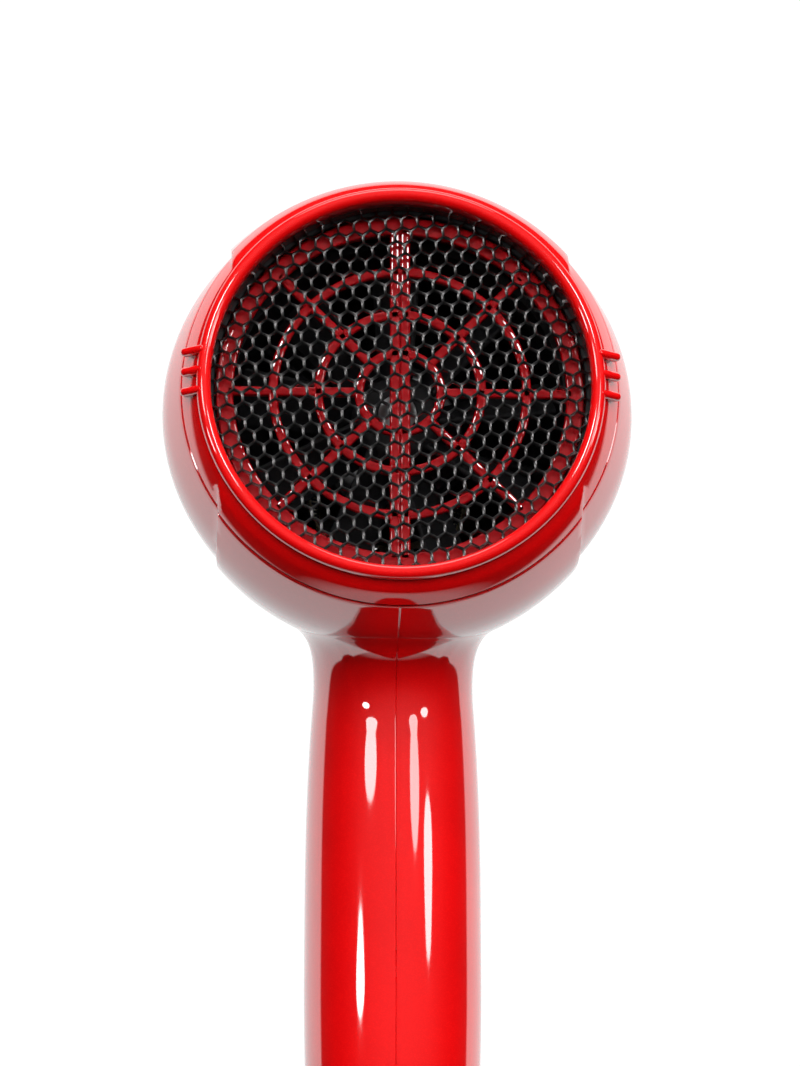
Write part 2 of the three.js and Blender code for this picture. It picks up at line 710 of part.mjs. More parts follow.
function nozzleForm() {
  const bore = spigot.radius + gap;
  const outer = bore + nozzle.wall;
  const drawStart = nozzle.start + nozzle.collar;
  const share = (y) => {
    const t = clamp01((y - drawStart) / (nozzle.front - drawStart));
    return 0.5 * t + 0.5 * t * t * (3 - 2 * t);
  };
  const shapeAt = (round, inset) => (y, angle) => {
    const t = share(y);
    const halfLong = THREE.MathUtils.lerp(round, nozzle.mouthLength / 2 - inset, t);
    const halfFlat = THREE.MathUtils.lerp(round, nozzle.mouthWidth / 2 - inset, t);
    const power = THREE.MathUtils.lerp(2, 3.4, t);
    const x = Math.abs(Math.sin(angle) / halfFlat) ** power;
    const z = Math.abs(Math.cos(angle) / halfLong) ** power;
    return (x + z) ** (-1 / power);
  };
  const draw = range(7).map((i) => drawStart + (i / 6) * (nozzle.front - drawStart));
  const outside = formed([nozzle.start, ...draw], shapeAt(outer, 0), 40);
  const insideStart = bodyFront + spigot.length + gap;
  const through = [insideStart, ...draw.filter((y) => y > insideStart + 1 && y < nozzle.front), nozzle.front + 1];
  const inside = formed(through, shapeAt(spigot.radius - spigot.wall, nozzle.lip), 40);
  return cut(outside, disc(bore, nozzle.start - 1, insideStart + 0.01), inside);
}

addNode("nozzle", nozzleForm(), finishes.black);

// Switches in the front of the handle.

const handleFront = (z) => grip.behindRim + handleHalfDepth(z);
const switchTop = rockerPivot - switchBody.drop;

function rockerForm(z) {
  const face = handleFront(z) + rocker.proud;
  const barrel = rod("x", rocker.radius, -rocker.width / 2, rocker.width / 2, [rockerPivot, z], 32);
  const kept = block([-20, 20], [rockerPivot - rocker.under, face], [z - 20, z + 20]);
  const reach = rocker.width / 2 + rocker.trunnionLength;
  return barrel.intersect(kept).add(rod("x", rocker.trunnion, -reach, reach, [rockerPivot, z], 16));
}

function switchBodyForm(z) {
  const half = switchBody.width / 2;
  const base = block([-half, half], [switchTop - switchBody.length, switchTop], [z - 9.5, z + 9.5]);
  const ears = [-1, 1].map((side) => {
    const near = side * (rocker.width / 2 + switchBody.earGap);
    const far = near + side * switchBody.ear;
    const ends = [near, far].sort((a, b) => a - b);
    const ear = block(ends, [switchTop - 1, rockerPivot + 2.2], [z - 2.6, z + 2.6]);
    return ear.subtract(rod("x", rocker.trunnion + gap, -20, 20, [rockerPivot, z], 16));
  });
  return join(base, ...ears);
}

for (const [name, z] of Object.entries(rockerHeights)) {
  addNode(name + "_rocker", rockerForm(z), finishes.black);
  addNode(name + "_switch_body", switchBodyForm(z), finishes.white);
}

addNode(
  "cool_button",
  join(
    rod("y", button.radius, button.flangeDepth + 0.5, handleFront(button.height) + button.proud, [0, button.height]),
    rod("y", button.flange, button.flangeDepth, button.flangeDepth + button.flangeSheet, [0, button.height]),
    rod("y", button.plunger, button.plungerEnd, button.flangeDepth + 0.5, [0, button.height], 12),
  ),
  finishes.black,
);

addNode(
  "cool_button_spring",
  helix(spring.radius, spring.wire, spring.turns, spring.rear, spring.front, button.height, 8),
  finishes.steel,
);

const coolBodyTop = spring.rear - spring.wire - gap;
const carrierFront = switchTop - switchBody.length - gap;
addNode(
  "cool_switch_body",
  block([-6, 6], [carrierFront + gap, coolBodyTop], [button.height - 5.5, button.height + 5.5]),
  finishes.white,
);
addNode(
  "switch_carrier",
  block(
    [-carrier.width / 2, carrier.width / 2],
    [carrierFront - carrier.sheet, carrierFront],
    [carrier.bottom, carrier.top],
  ),
  finishes.white,
);

// Shell screws, put in from the left side.

function screwForm([y, z]) {
  const seat = -screw.seat - gap;
  const head = rod("x", screw.head, seat - screw.headHeight, seat, [y, z], 16);
  const shank = rod("x", screw.shank, seat - 0.2, seat + screw.length, [y, z], 12);
  const slotAcross = block([seat - 5, seat - screw.headHeight + 0.9], [y - 1.7, y + 1.7], [z - 0.35, z + 0.35]);
  const slotDown = block([seat - 5, seat - screw.headHeight + 0.9], [y - 0.35, y + 0.35], [z - 1.7, z + 1.7]);
  return cut(head.add(shank), slotAcross, slotDown);
}

for (const [name, place] of Object.entries(screwPlaces)) {
  addNode("screw_" + name, screwForm(place), finishes.steel);
}

// Cord inlet bush in the handle's end, and the hanging loop on its pin.

function glandForm() {
  const top = handleEnd + wall + gap;
  const bottom = handleEnd - gap;
  const place = [0, gland.depth];
  const flangeIn = rod("z", gland.flange, top, top + gland.flangeSheet, place, 18);
  const neck = rod("z", gland.neck, bottom - 0.5, top + 0.5, place, 18);
  const tail = rod("z", gland.neck, bottom - gland.tail, bottom, place, 18);
  return cut(join(flangeIn, neck, tail), rod("z", gland.bore, bottom - 10, top + 10, place, 18));
}

addNode("cord_inlet_bush", glandForm(), finishes.rubber);

const pivotHeight = handleEnd - loop.pivotDrop;
const earStart = loop.lugWidth / 2 + 0.4;
const earEnd = earStart + loop.earWidth;
addNode("loop_pin", rod("x", loop.pin, -earEnd - 0.2, earEnd + 0.2, [loop.depth, pivotHeight], 16), finishes.steel);

function loopForm() {
  const outline = new THREE.Shape();
  const half = loop.width / 2;
  const low = pivotHeight - loop.length + half;
  outline.moveTo(-earEnd, pivotHeight);
  outline.lineTo(-half, pivotHeight - 5);
  outline.lineTo(-half, low);
  outline.absarc(0, low, half, Math.PI, 2 * Math.PI);
  outline.lineTo(half, pivotHeight - 5);
  outline.lineTo(earEnd, pivotHeight);
  outline.closePath();
  const eye = new THREE.Path();
  const eyeHalf = half - loop.rod;
  eye.absarc(0, low, eyeHalf, Math.PI, 2 * Math.PI);
  eye.lineTo(eyeHalf, pivotHeight - loop.ear - 1.2);
  eye.lineTo(-eyeHalf, pivotHeight - loop.ear - 1.2);
  outline.holes.push(eye);
  const geometry = new THREE.ExtrudeGeometry(outline, { depth: loop.sheet, bevelEnabled: false, curveSegments: 16 });
  geometry.rotateX(Math.PI / 2).translate(0, loop.depth + loop.sheet / 2, 0);
  return solid(geometry);
}

function hangingLoop() {
  const ears = rod("x", loop.ear, -earEnd, earEnd, [loop.depth, pivotHeight]);
  const clear = loop.lugWidth / 2 + 0.4;
  const reach = loop.ear + 0.4;
  const slot = block([-clear, clear], [loop.depth - 10, loop.depth + 10], [pivotHeight - reach, pivotHeight + 10]);
  return cut(loopForm().add(ears), slot, rod("x", loop.pin + gap, -20, 20, [loop.depth, pivotHeight], 16));
}

addNode("hang_loop", hangingLoop(), finishes.black);

export default dryer;
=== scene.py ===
import json
import math

import bmesh
import bpy
from mathutils import Matrix, Vector


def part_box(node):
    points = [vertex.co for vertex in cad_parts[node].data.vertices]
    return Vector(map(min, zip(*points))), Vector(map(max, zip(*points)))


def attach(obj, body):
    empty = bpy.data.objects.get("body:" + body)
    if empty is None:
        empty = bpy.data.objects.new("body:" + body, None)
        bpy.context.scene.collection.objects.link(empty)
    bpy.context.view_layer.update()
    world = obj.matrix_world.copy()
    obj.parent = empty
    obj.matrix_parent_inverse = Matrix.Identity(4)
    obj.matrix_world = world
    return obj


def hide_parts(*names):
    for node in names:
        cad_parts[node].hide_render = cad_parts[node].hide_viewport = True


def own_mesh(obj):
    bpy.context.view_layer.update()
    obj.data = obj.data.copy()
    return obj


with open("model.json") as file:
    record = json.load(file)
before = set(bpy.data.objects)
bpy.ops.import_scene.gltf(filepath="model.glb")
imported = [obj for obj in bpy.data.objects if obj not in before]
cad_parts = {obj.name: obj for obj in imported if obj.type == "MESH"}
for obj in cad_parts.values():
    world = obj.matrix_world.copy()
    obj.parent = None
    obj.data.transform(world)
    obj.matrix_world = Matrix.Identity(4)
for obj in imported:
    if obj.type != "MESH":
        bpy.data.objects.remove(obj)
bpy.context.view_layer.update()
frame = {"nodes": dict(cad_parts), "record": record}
nodes = frame["nodes"]
mm = 0.001

# the barrel's axis meets the plane of the rear rim here, and pieces are measured from it in millimetres
rimCentre = Vector((0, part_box("intake_cap")[0].y, sum(c.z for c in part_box("intake_mesh")) / 2))


def place(x, y, z):
    return Vector((x * mm, y * mm, z * mm)) + rimCentre


def local(corner):
    return (corner - rimCentre) / mm


def clamp01(t):
    return min(1.0, max(0.0, t))


def smooth(t):
    t = clamp01(t)
    return t * t * (3 - 2 * t)


def mix(a, b, t):
    return a + (b - a) * t


def along(stations, at):
    last = len(stations) - 1

    def slope(a, b):
        return (stations[b][0] - stations[a][0]) / (stations[b][1] - stations[a][1])

    def slopeAt(k):
        if k == 0:
            return slope(0, 1)
        if k == last:
            return slope(last - 1, last)
        return slope(k - 1, k + 1)

    if at <= stations[0][1]:
        return stations[0][0] + slopeAt(0) * (at - stations[0][1])
    if at >= stations[last][1]:
        return stations[last][0] + slopeAt(last) * (at - stations[last][1])
    i = max(k for k in range(last) if stations[k][1] <= at)
    span = stations[i + 1][1] - stations[i][1]
    t = (at - stations[i][1]) / span
    return (stations[i][0] * (1 + 2 * t) * (1 - t) ** 2 + stations[i + 1][0] * t * t * (3 - 2 * t)
            + slopeAt(i) * span * t * (1 - t) ** 2 - slopeAt(i + 1) * span * t * t * (1 - t))


def spread(start, end, count):
    return [mix(start, end, i / count) for i in range(count + 1)]


def newObject(name, mesh):
    obj = bpy.data.objects.new(name, mesh)
    bpy.context.scene.collection.objects.link(obj)
    return obj


def meshFrom(bm, name, merge=0.00001):
    bmesh.ops.remove_doubles(bm, verts=bm.verts, dist=merge)
    bmesh.ops.recalc_face_normals(bm, faces=bm.faces)
    mesh = bpy.data.meshes.new(name)
    bm.to_mesh(mesh)
    bm.free()
    return mesh


# rows of points in metres become a sheet of quads, closed on itself where asked
def addSheet(bm, rows, wrapColumns=False, wrapRows=False):
    made = [[bm.verts.new(point) for point in row] for row in rows]
    rowCount, columnCount = len(made), len(made[0])
    for i in range(rowCount if wrapRows else rowCount - 1):
        for j in range(columnCount if wrapColumns else columnCount - 1):
            a, b = made[i][j], made[i][(j + 1) % columnCount]
            c, d = made[(i + 1) % rowCount][(j + 1) % columnCount], made[(i + 1) % rowCount][j]
            bm.faces.new((a, b, c, d))
    return made


# rings of points become a rod with closed ends
def addRod(bm, rows):
    made = addSheet(bm, rows, wrapColumns=True)
    bm.faces.new(made[0][::-1])
    bm.faces.new(made[-1])


# a profile of (radius, depth) points turned about the barrel's axis
def addTurned(bm, profile, segments, shift=None):
    rows = []
    for radius, depth in profile:
        row = []
        for j in range(segments):
            angle = 2 * math.pi * j / segments
            r = radius + (shift(radius, depth, angle) if shift else 0)
            row.append(place(r * math.sin(angle), depth, r * math.cos(angle)))
        rows.append(row)
    addSheet(bm, rows, wrapColumns=True, wrapRows=True)


# a profile of (radius, distance) turned about a line along x, y or z through a centre
def addLathe(bm, profile, axis, centre=(0, 0, 0), segments=64, closed=True):
    rows = []
    for radius, s in profile:
        row = []
        for k in range(segments):
            a = radius * math.cos(2 * math.pi * k / segments)
            b = radius * math.sin(2 * math.pi * k / segments)
            spot = {"x": (s, a, b), "y": (a, s, b), "z": (a, b, s)}[axis]
            row.append(place(*(Vector(spot) + Vector(centre))))
        rows.append(row)
    if closed:
        addSheet(bm, rows, wrapColumns=True, wrapRows=True)
    else:
        addRod(bm, rows)


def arc(centre, radius, start, end, count):
    return [(centre[0] + radius * math.cos(math.radians(a)), centre[1] + radius * math.sin(math.radians(a)))
            for a in spread(start, end, count)]


def roundedBox(width, height, corner, count=3):
    halfW, halfH = width / 2 - corner, height / 2 - corner
    points = []
    corners = ((halfW, halfH), (-halfW, halfH), (-halfW, -halfH), (halfW, -halfH))
    for quarter, middle in enumerate(corners):
        points += arc(middle, corner, 90 * quarter, 90 * quarter + 90, count)
    return points


# a section of (across, forward) points swept along places that each have their own across direction
def addSweep(bm, section, steps):
    addRod(bm, [[place(*(centre + across * u + Vector((0, v, 0)))) for u, v in section]
                for centre, across in steps])


# a CAD node's own shape with its edges broken
def refined(name, node, bevel, segments=2):
    flatAngle, edgeAngle = 1, 34
    mesh = nodes[node].data.copy()
    mesh.materials.clear()
    bm = bmesh.new()
    bm.from_mesh(mesh)
    bmesh.ops.remove_doubles(bm, verts=bm.verts, dist=0.00001)
    bmesh.ops.dissolve_limit(bm, angle_limit=math.radians(flatAngle), verts=bm.verts, edges=bm.edges)
    bm.to_mesh(mesh)
    bm.free()
    mesh.name = name
    obj = newObject(name, mesh)
    edge = obj.modifiers.new("edge", "BEVEL")
    edge.width = bevel * mm
    edge.segments = segments
    edge.limit_method = "ANGLE"
    edge.angle_limit = math.radians(edgeAngle)
    edge.use_clamp_overlap = True
    bakeModifiers(obj)
    return obj


def bakeModifiers(obj):
    bpy.context.view_layer.update()
    graph = bpy.context.evaluated_depsgraph_get()
    mesh = bpy.data.meshes.new_from_object(obj.evaluated_get(graph))
    obj.modifiers.clear()
    obj.data = mesh
    return obj


# one material, crisp edges past the sharp angle, then the piece's body, and its CAD nodes hidden
def finishPiece(obj, body, replaced, material, sharp=38):
    obj.data.materials.clear()
    obj.data.materials.append(material)
    obj.data.shade_smooth()
    obj.data.set_sharp_from_angle(angle=math.radians(sharp))
    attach(obj, body)
    if replaced:
        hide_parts(*replaced)
    return obj


def addNode(tree, kind, operation=None, values=None):
    node = tree.nodes.new(kind)
    if operation:
        node.operation = operation
    for socket, value in (values or {}).items():
        node.inputs[socket].default_value = value
    return node


def newGroup(name, inputs, outputs):
    tree = bpy.data.node_groups.new(name, "ShaderNodeTree")
    for label, kind, value in inputs:
        socket = tree.interface.new_socket(name=label, in_out="INPUT", socket_type="NodeSocket" + kind)
        socket.default_value = value
    for label, kind in outputs:
        tree.interface.new_socket(name=label, in_out="OUTPUT", socket_type="NodeSocket" + kind)
    return tree, tree.nodes.new("NodeGroupInput"), tree.nodes.new("NodeGroupOutput")


# metal flake under the lacquer: small cells that each tilt the light and shift the colour
def flakeGroup():
    tree, source, sink = newGroup(
        "flake",
        [("Color", "Color", (0.5, 0, 0, 1)), ("Spark", "Color", (1, 0.2, 0.1, 1)),
         ("Scale", "Float", 3000.0), ("Amount", "Float", 0.2), ("Tilt", "Float", 0.3)],
        [("Color", "Color"), ("Normal", "Vector")])
    link = tree.links.new
    coords = addNode(tree, "ShaderNodeTexCoord")
    cells = addNode(tree, "ShaderNodeTexVoronoi")
    cloud = addNode(tree, "ShaderNodeTexNoise", values={"Scale": 60, "Detail": 3})
    parts = addNode(tree, "ShaderNodeSeparateColor")
    bright = addNode(tree, "ShaderNodeMapRange", values={"From Min": 0.55, "From Max": 1.0})
    amount = addNode(tree, "ShaderNodeMath", "MULTIPLY")
    drift = addNode(tree, "ShaderNodeMapRange", values={"To Min": 0.82, "To Max": 1.12})
    tint = addNode(tree, "ShaderNodeMix")
    tint.data_type = "RGBA"
    shade = addNode(tree, "ShaderNodeVectorMath", "SCALE")
    bump = addNode(tree, "ShaderNodeBump", values={"Distance": 0.00004})
    link(coords.outputs["Object"], cells.inputs["Vector"])
    link(coords.outputs["Object"], cloud.inputs["Vector"])
    link(source.outputs["Scale"], cells.inputs["Scale"])
    link(cells.outputs["Color"], parts.inputs["Color"])
    link(parts.outputs["Red"], bright.inputs["Value"])
    link(bright.outputs["Result"], amount.inputs[0])
    link(source.outputs["Amount"], amount.inputs[1])
    link(amount.outputs["Value"], tint.inputs["Factor"])
    link(source.outputs["Color"], tint.inputs["A"])
    link(source.outputs["Spark"], tint.inputs["B"])
    link(cloud.outputs["Fac"], drift.inputs["Value"])
    link(tint.outputs["Result"], shade.inputs[0])
    link(drift.outputs["Result"], shade.inputs["Scale"])
    link(shade.outputs["Vector"], sink.inputs["Color"])
    link(parts.outputs["Green"], bump.inputs["Height"])
    link(source.outputs["Tilt"], bump.inputs["Strength"])
    link(bump.outputs["Normal"], sink.inputs["Normal"])
    return tree


# moulded or rolled surface: fine grain for the bump, with cloudy colour and gloss
def grainGroup():
    tree, source, sink = newGroup(
        "grain",
        [("Color", "Color", (0.5, 0.5, 0.5, 1)), ("Roughness", "Float", 0.5), ("Scale", "Float", 900.0),
         ("Variation", "Float", 0.15), ("Stretch", "Vector", (1, 1, 1)), ("Strength", "Float", 0.15)],
        [("Color", "Color"), ("Roughness", "Float"), ("Normal", "Vector")])
    link = tree.links.new
    coords = addNode(tree, "ShaderNodeTexCoord")
    stretch = addNode(tree, "ShaderNodeVectorMath", "MULTIPLY")
    grain = addNode(tree, "ShaderNodeTexNoise", values={"Detail": 3})
    cloud = addNode(tree, "ShaderNodeTexNoise", values={"Scale": 45, "Detail": 4})
    centred = addNode(tree, "ShaderNodeMath", "SUBTRACT", {1: 0.5})
    scaled = addNode(tree, "ShaderNodeMath", "MULTIPLY")
    factor = addNode(tree, "ShaderNodeMath", "ADD", {1: 1.0})
    tone = addNode(tree, "ShaderNodeVectorMath", "SCALE")
    gloss = addNode(tree, "ShaderNodeMath", "MULTIPLY")
    bump = addNode(tree, "ShaderNodeBump", values={"Distance": 0.0001})
    link(coords.outputs["Object"], stretch.inputs[0])
    link(source.outputs["Stretch"], stretch.inputs[1])
    link(stretch.outputs["Vector"], grain.inputs["Vector"])
    link(source.outputs["Scale"], grain.inputs["Scale"])
    link(coords.outputs["Object"], cloud.inputs["Vector"])
    link(cloud.outputs["Fac"], centred.inputs[0])
    link(centred.outputs["Value"], scaled.inputs[0])
    link(source.outputs["Variation"], scaled.inputs[1])
    link(scaled.outputs["Value"], factor.inputs[0])
    link(source.outputs["Color"], tone.inputs[0])
    link(factor.outputs["Value"], tone.inputs["Scale"])
    link(factor.outputs["Value"], gloss.inputs[0])
    link(source.outputs["Roughness"], gloss.inputs[1])
    link(grain.outputs["Fac"], bump.inputs["Height"])
    link(source.outputs["Strength"], bump.inputs["Strength"])
    link(tone.outputs["Vector"], sink.inputs["Color"])
    link(gloss.outputs["Value"], sink.inputs["Roughness"])
    link(bump.outputs["Normal"], sink.inputs["Normal"])
    return tree


flakes = flakeGroup()
grains = grainGroup()


def newMaterial(name, color):
    material = bpy.data.materials.new(name)
    material.use_nodes = True
    material.diffuse_color = (*color, 1)
    return material, material.node_tree, material.node_tree.nodes["Principled BSDF"]


# within shadeReach of the barrel's axis, shadeDepth in from the rim, lies the guard, which is in the shade;
# there the lacquer's colour turns to shadeColor, a painted shade
lacquer = {
    "color": (0.62, 0.0, 0.001, 1),
    "spark": (1.0, 0.01, 0.006, 1),
    "flakeScale": 5200,
    "flakeAmount": 0.22,
    "flakeTilt": 0.12,
    "metallic": 0.05,
    "roughness": 0.4,
    "coatRoughness": 0.045,
    "coatIor": 2.4,
    "specular": 0.1,
    "shadeDepth": 10,
    "shadeReach": 41.5,
    "shadeColor": (0.34, 0.0, 0.003, 1),
}


def makeLacquer(name):
    material, tree, shader = newMaterial(name, lacquer["color"][:3])
    link = tree.links.new
    group = addNode(tree, "ShaderNodeGroup")
    group.node_tree = flakes
    for label, key in (("Color", "color"), ("Spark", "spark"), ("Scale", "flakeScale"),
                       ("Amount", "flakeAmount"), ("Tilt", "flakeTilt")):
        group.inputs[label].default_value = lacquer[key]
    # painted shade: lacquer near the guard, behind the mesh, is darkened to shadeColor by position
    coords = addNode(tree, "ShaderNodeTexCoord")
    middle = place(0, lacquer["shadeDepth"], 0)
    away = addNode(tree, "ShaderNodeVectorMath", "DISTANCE", {1: middle})
    within = addNode(tree, "ShaderNodeMath", "LESS_THAN", {1: lacquer["shadeReach"] * mm})
    paintedShade = addNode(tree, "ShaderNodeMix")
    paintedShade.data_type = "RGBA"
    paintedShade.inputs["B"].default_value = lacquer["shadeColor"]
    link(coords.outputs["Object"], away.inputs[0])
    link(away.outputs["Value"], within.inputs[0])
    link(within.outputs["Value"], paintedShade.inputs["Factor"])
    link(group.outputs["Color"], paintedShade.inputs["A"])
    link(paintedShade.outputs["Result"], shader.inputs["Base Color"])
    link(group.outputs["Normal"], shader.inputs["Normal"])
    finish = {"Metallic": "metallic", "Roughness": "roughness", "Coat Roughness": "coatRoughness",
              "Coat IOR": "coatIor", "Specular IOR Level": "specular"}
    for label, key in finish.items():
        shader.inputs[label].default_value = lacquer[key]
    shader.inputs["Coat Weight"].default_value = 1.0
    return material


def grained(name, color, roughness, metallic, scale, variation, stretch=(1, 1, 1), strength=0.15, coat=0.0):
    material, tree, shader = newMaterial(name, color)
    group = addNode(tree, "ShaderNodeGroup")
    group.node_tree = grains
    values = {"Color": (*color, 1), "Roughness": roughness, "Scale": scale, "Variation": variation,
              "Stretch": stretch, "Strength": strength}
    for label, value in values.items():
        group.inputs[label].default_value = value
    for label, target in (("Color", "Base Color"), ("Roughness", "Roughness"), ("Normal", "Normal")):
        tree.links.new(group.outputs[label], shader.inputs[target])
    shader.inputs["Metallic"].default_value = metallic
    shader.inputs["Coat Weight"].default_value = coat
    shader.inputs["Coat Roughness"].default_value = 0.06
    return material


redLacquer = makeLacquer("redLacquer")
materials = {
    "shell_lacquer": redLacquer,
    "mesh_steel": grained("blackSteel", (0.3, 0.29, 0.29), 0.26, 1.0, 1600, 0.25, strength=0.05),
    "black_plastic": grained("blackNylon", (0.012, 0.012, 0.013), 0.6, 0.0, 1400, 0.3, strength=0.25),
    "trim_black": grained("pianoBlack", (0.008, 0.008, 0.009), 0.18, 0.0, 500, 0.2, strength=0.02,
                          coat=0.8),
    "switch_black": grained("softBlack", (0.016, 0.016, 0.017), 0.38, 0.0, 2200, 0.25, strength=0.3),
    "white_plastic": grained("naturalNylon", (0.72, 0.7, 0.64), 0.45, 0.0, 1200, 0.12),
    "steel": grained("zincSteel", (0.55, 0.55, 0.56), 0.3, 1.0, 800, 0.25, (1, 6, 1), 0.08),
    "bearing_brass": grained("sinteredBronze", (0.55, 0.36, 0.16), 0.42, 1.0, 2600, 0.25, strength=0.3),
    "ferrite": grained("groundFerrite", (0.03, 0.03, 0.033), 0.6, 0.2, 1500, 0.3, strength=0.3),
    "carbon": grained("graphite", (0.02, 0.02, 0.02), 0.65, 0.1, 1500, 0.3, strength=0.3),
    "board": grained("greenLaminate", (0.01, 0.1, 0.03), 0.35, 0.0, 700, 0.2, strength=0.1),
    "copper": grained("enamelledCopper", (0.55, 0.18, 0.06), 0.32, 1.0, 1800, 0.3, (1, 0.1, 1), 0.5),
    "mica": grained("pressedMica", (0.5, 0.41, 0.26), 0.5, 0.0, 500, 0.5, strength=0.3),
    "nichrome": grained("oxidisedWire", (0.16, 0.14, 0.13), 0.45, 0.9, 1500, 0.4, strength=0.2),
    "white_ceramic": grained("glazedWhite", (0.75, 0.73, 0.68), 0.2, 0.0, 300, 0.1, coat=0.5),
    "rubber": grained("softRubber", (0.012, 0.012, 0.012), 0.7, 0.0, 1600, 0.25, strength=0.4),
}
slotOf = {row["node"]: row["material_slot"] for row in frame["record"]["subparts"]}
for nodeName, node in nodes.items():
    node.data.materials.clear()
    node.data.materials.append(materials[slotOf[nodeName]])
print("materials ready")

# body and handle, both halves, in millimetres from the middle of the rear rim
body = {
    "plain": [(47.3, 8.2), (48.2, 14), (49, 20), (49.3, 27), (48.9, 33), (47.9, 40), (45.9, 49), (41.7, 59),
              (36.2, 73), (31.3, 89), (27.3, 107), (24.8, 125), (23.9, 138)],
    "front": 138,
    "seam": 8.2,
    "lobeRise": 2.5,
    "lobeDepth": 27,
    "lobeFade": 60,
    "bandRise": 2.7,
    "seamRise": 0.8,
    "bandTop": 36.4,
    "bandBottom": 38.8,
    "bandEdge": 0.7,
    "wall": 2.2,
    "gap": 0.02,
    "groove": 0.14,
    "lip": 0.35,
    "spigot": 21.5,
    "spigotBore": 19.2,
    "spigotEnd": 154,
}
handle = {
    "outline": [(12.8, -175), (14.4, -173), (16.8, -166), (18.6, -152), (19.4, -132), (19.5, -112),
                (19.3, -88), (18.6, -69), (17.3, -50), (16.9, -44), (16.9, -30)],
    "depthRatio": 1.12,
    "centre": 55,
    "top": -46,
    "straightEnd": -164,
    "end": -175,
    "round": [(-167.5, 0), (-170.4, 0), (-172.8, 0), (-174.2, 0.25), (-174.85, 1.0), (-174.99, 2.2)],
    "filletDown": 15,
    "filletSide": 5,
    "filletBack": 14,
    "overlap": 1.0,
    "sunk": 0.25,
    "square": 2.15,
}


def swell(y):
    rise = math.sin(math.pi / 2 * clamp01((y - body["seam"]) / (body["lobeDepth"] - body["seam"])))
    fall = math.cos(math.pi / 2 * clamp01((y - body["lobeDepth"]) / body["lobeFade"]))
    return rise * fall * fall


def bodyRadius(y, angle):
    plain = along(body["plain"], y)
    lobe = plain + body["lobeRise"] * swell(y) * math.sin(angle) ** 2
    atSeam = body["seamRise"] * clamp01(1 - (y - body["seam"]) / (body["lobeDepth"] - body["seam"]))
    band = plain + atSeam + body["bandRise"] * swell(y)
    half = body["bandTop"] if math.cos(angle) > 0 else body["bandBottom"]
    inside = smooth((half - abs(lobe * math.sin(angle))) / body["bandEdge"] + 0.5)
    return mix(lobe, band, inside)


def bodyPoint(y, angle, side):
    r = bodyRadius(y, angle)
    return Vector((side * r * math.sin(angle), y, r * math.cos(angle)))


# columns follow the band's two edges, so that the small step stays crisp
def bodyAngles(y):
    r = along(body["plain"], y) + body["lobeRise"] * swell(y) * 0.6
    edge = body["bandEdge"]

    def angleAt(x):
        return math.asin(min(0.985, x / r))

    top = [angleAt(body["bandTop"] + d * edge) for d in (-0.55, -0.25, 0, 0.25, 0.55)]
    low = [math.pi - angleAt(body["bandBottom"] + d * edge) for d in (0.55, 0.25, 0, -0.25, -0.55)]
    near = 0.25 / r
    return ([0, near * 0.5] + spread(near, top[0], 26)[:-1] + top + spread(top[-1], low[0], 34)[1:-1] + low
            + spread(low[-1], math.pi - near, 28)[1:] + [math.pi - near * 0.5, math.pi])


def bodyDepths():
    seam, lip = body["seam"] + 0.4, body["lip"]
    edge = [(seam, -lip), (seam + 0.1, -lip * 0.3), (seam + lip, 0)]
    rest = [(y, 0) for y in spread(seam + lip, 60, 44)[1:] + spread(60, body["front"] - 0.3, 34)[1:]]
    return edge + rest + [(body["front"] - 0.05, -0.1), (body["front"], -0.4)]


# each half's edge is rounded where the halves meet
def grooveAt(x):
    return body["groove"] * clamp01(1 - abs(x) / 0.24) ** 2


def bodySkin(bm, side):
    rows = []
    for y, drop in bodyDepths():
        row = []
        for angle in bodyAngles(y):
            point = bodyPoint(y, angle, side)
            radial = Vector((point.x, 0, point.z)).normalized()
            point += radial * (drop - grooveAt(point.x))
            point.x = side * max(abs(point.x), body["gap"])
            row.append(place(*point))
        rows.append(row)
    frontRow = rows[-1]
    middle = place(0, body["front"], 0)
    shrink = body["spigot"] / (body["plain"][-1][0] - 0.4)
    rows.append([middle + (p - middle) * shrink for p in frontRow])
    addSheet(bm, rows)


def handleWidth(z):
    return along(handle["outline"], z)


def handlePoint(z, angle, inset=0.0):
    power = 2 / handle["square"]
    x, y = math.sin(angle), -math.cos(angle)
    width = handleWidth(z) - inset
    depth = handleWidth(z) * handle["depthRatio"] - inset
    x = math.copysign(abs(x) ** power, x) * width
    y = math.copysign(abs(y) ** power, y) * depth
    return Vector((x, handle["centre"] + y, z))


# the point on the body's underside straight below x and y
def underBody(x, y):
    angle = math.pi - math.asin(min(1, abs(x) / 47))
    for _ in range(6):
        r = bodyRadius(y, angle)
        angle = math.pi - math.asin(min(0.99, abs(x) / r))
    return Vector((x, y, bodyRadius(y, angle) * math.cos(angle)))


def bodyNormal(point):
    step = 0.2
    a = underBody(point.x, point.y)
    dx = underBody(point.x + step, point.y) - underBody(point.x - step, point.y)
    dy = underBody(point.x, point.y + step) - underBody(point.x, point.y - step)
    normal = dx.cross(dy).normalized()
    return normal if normal.z < 0 else -normal


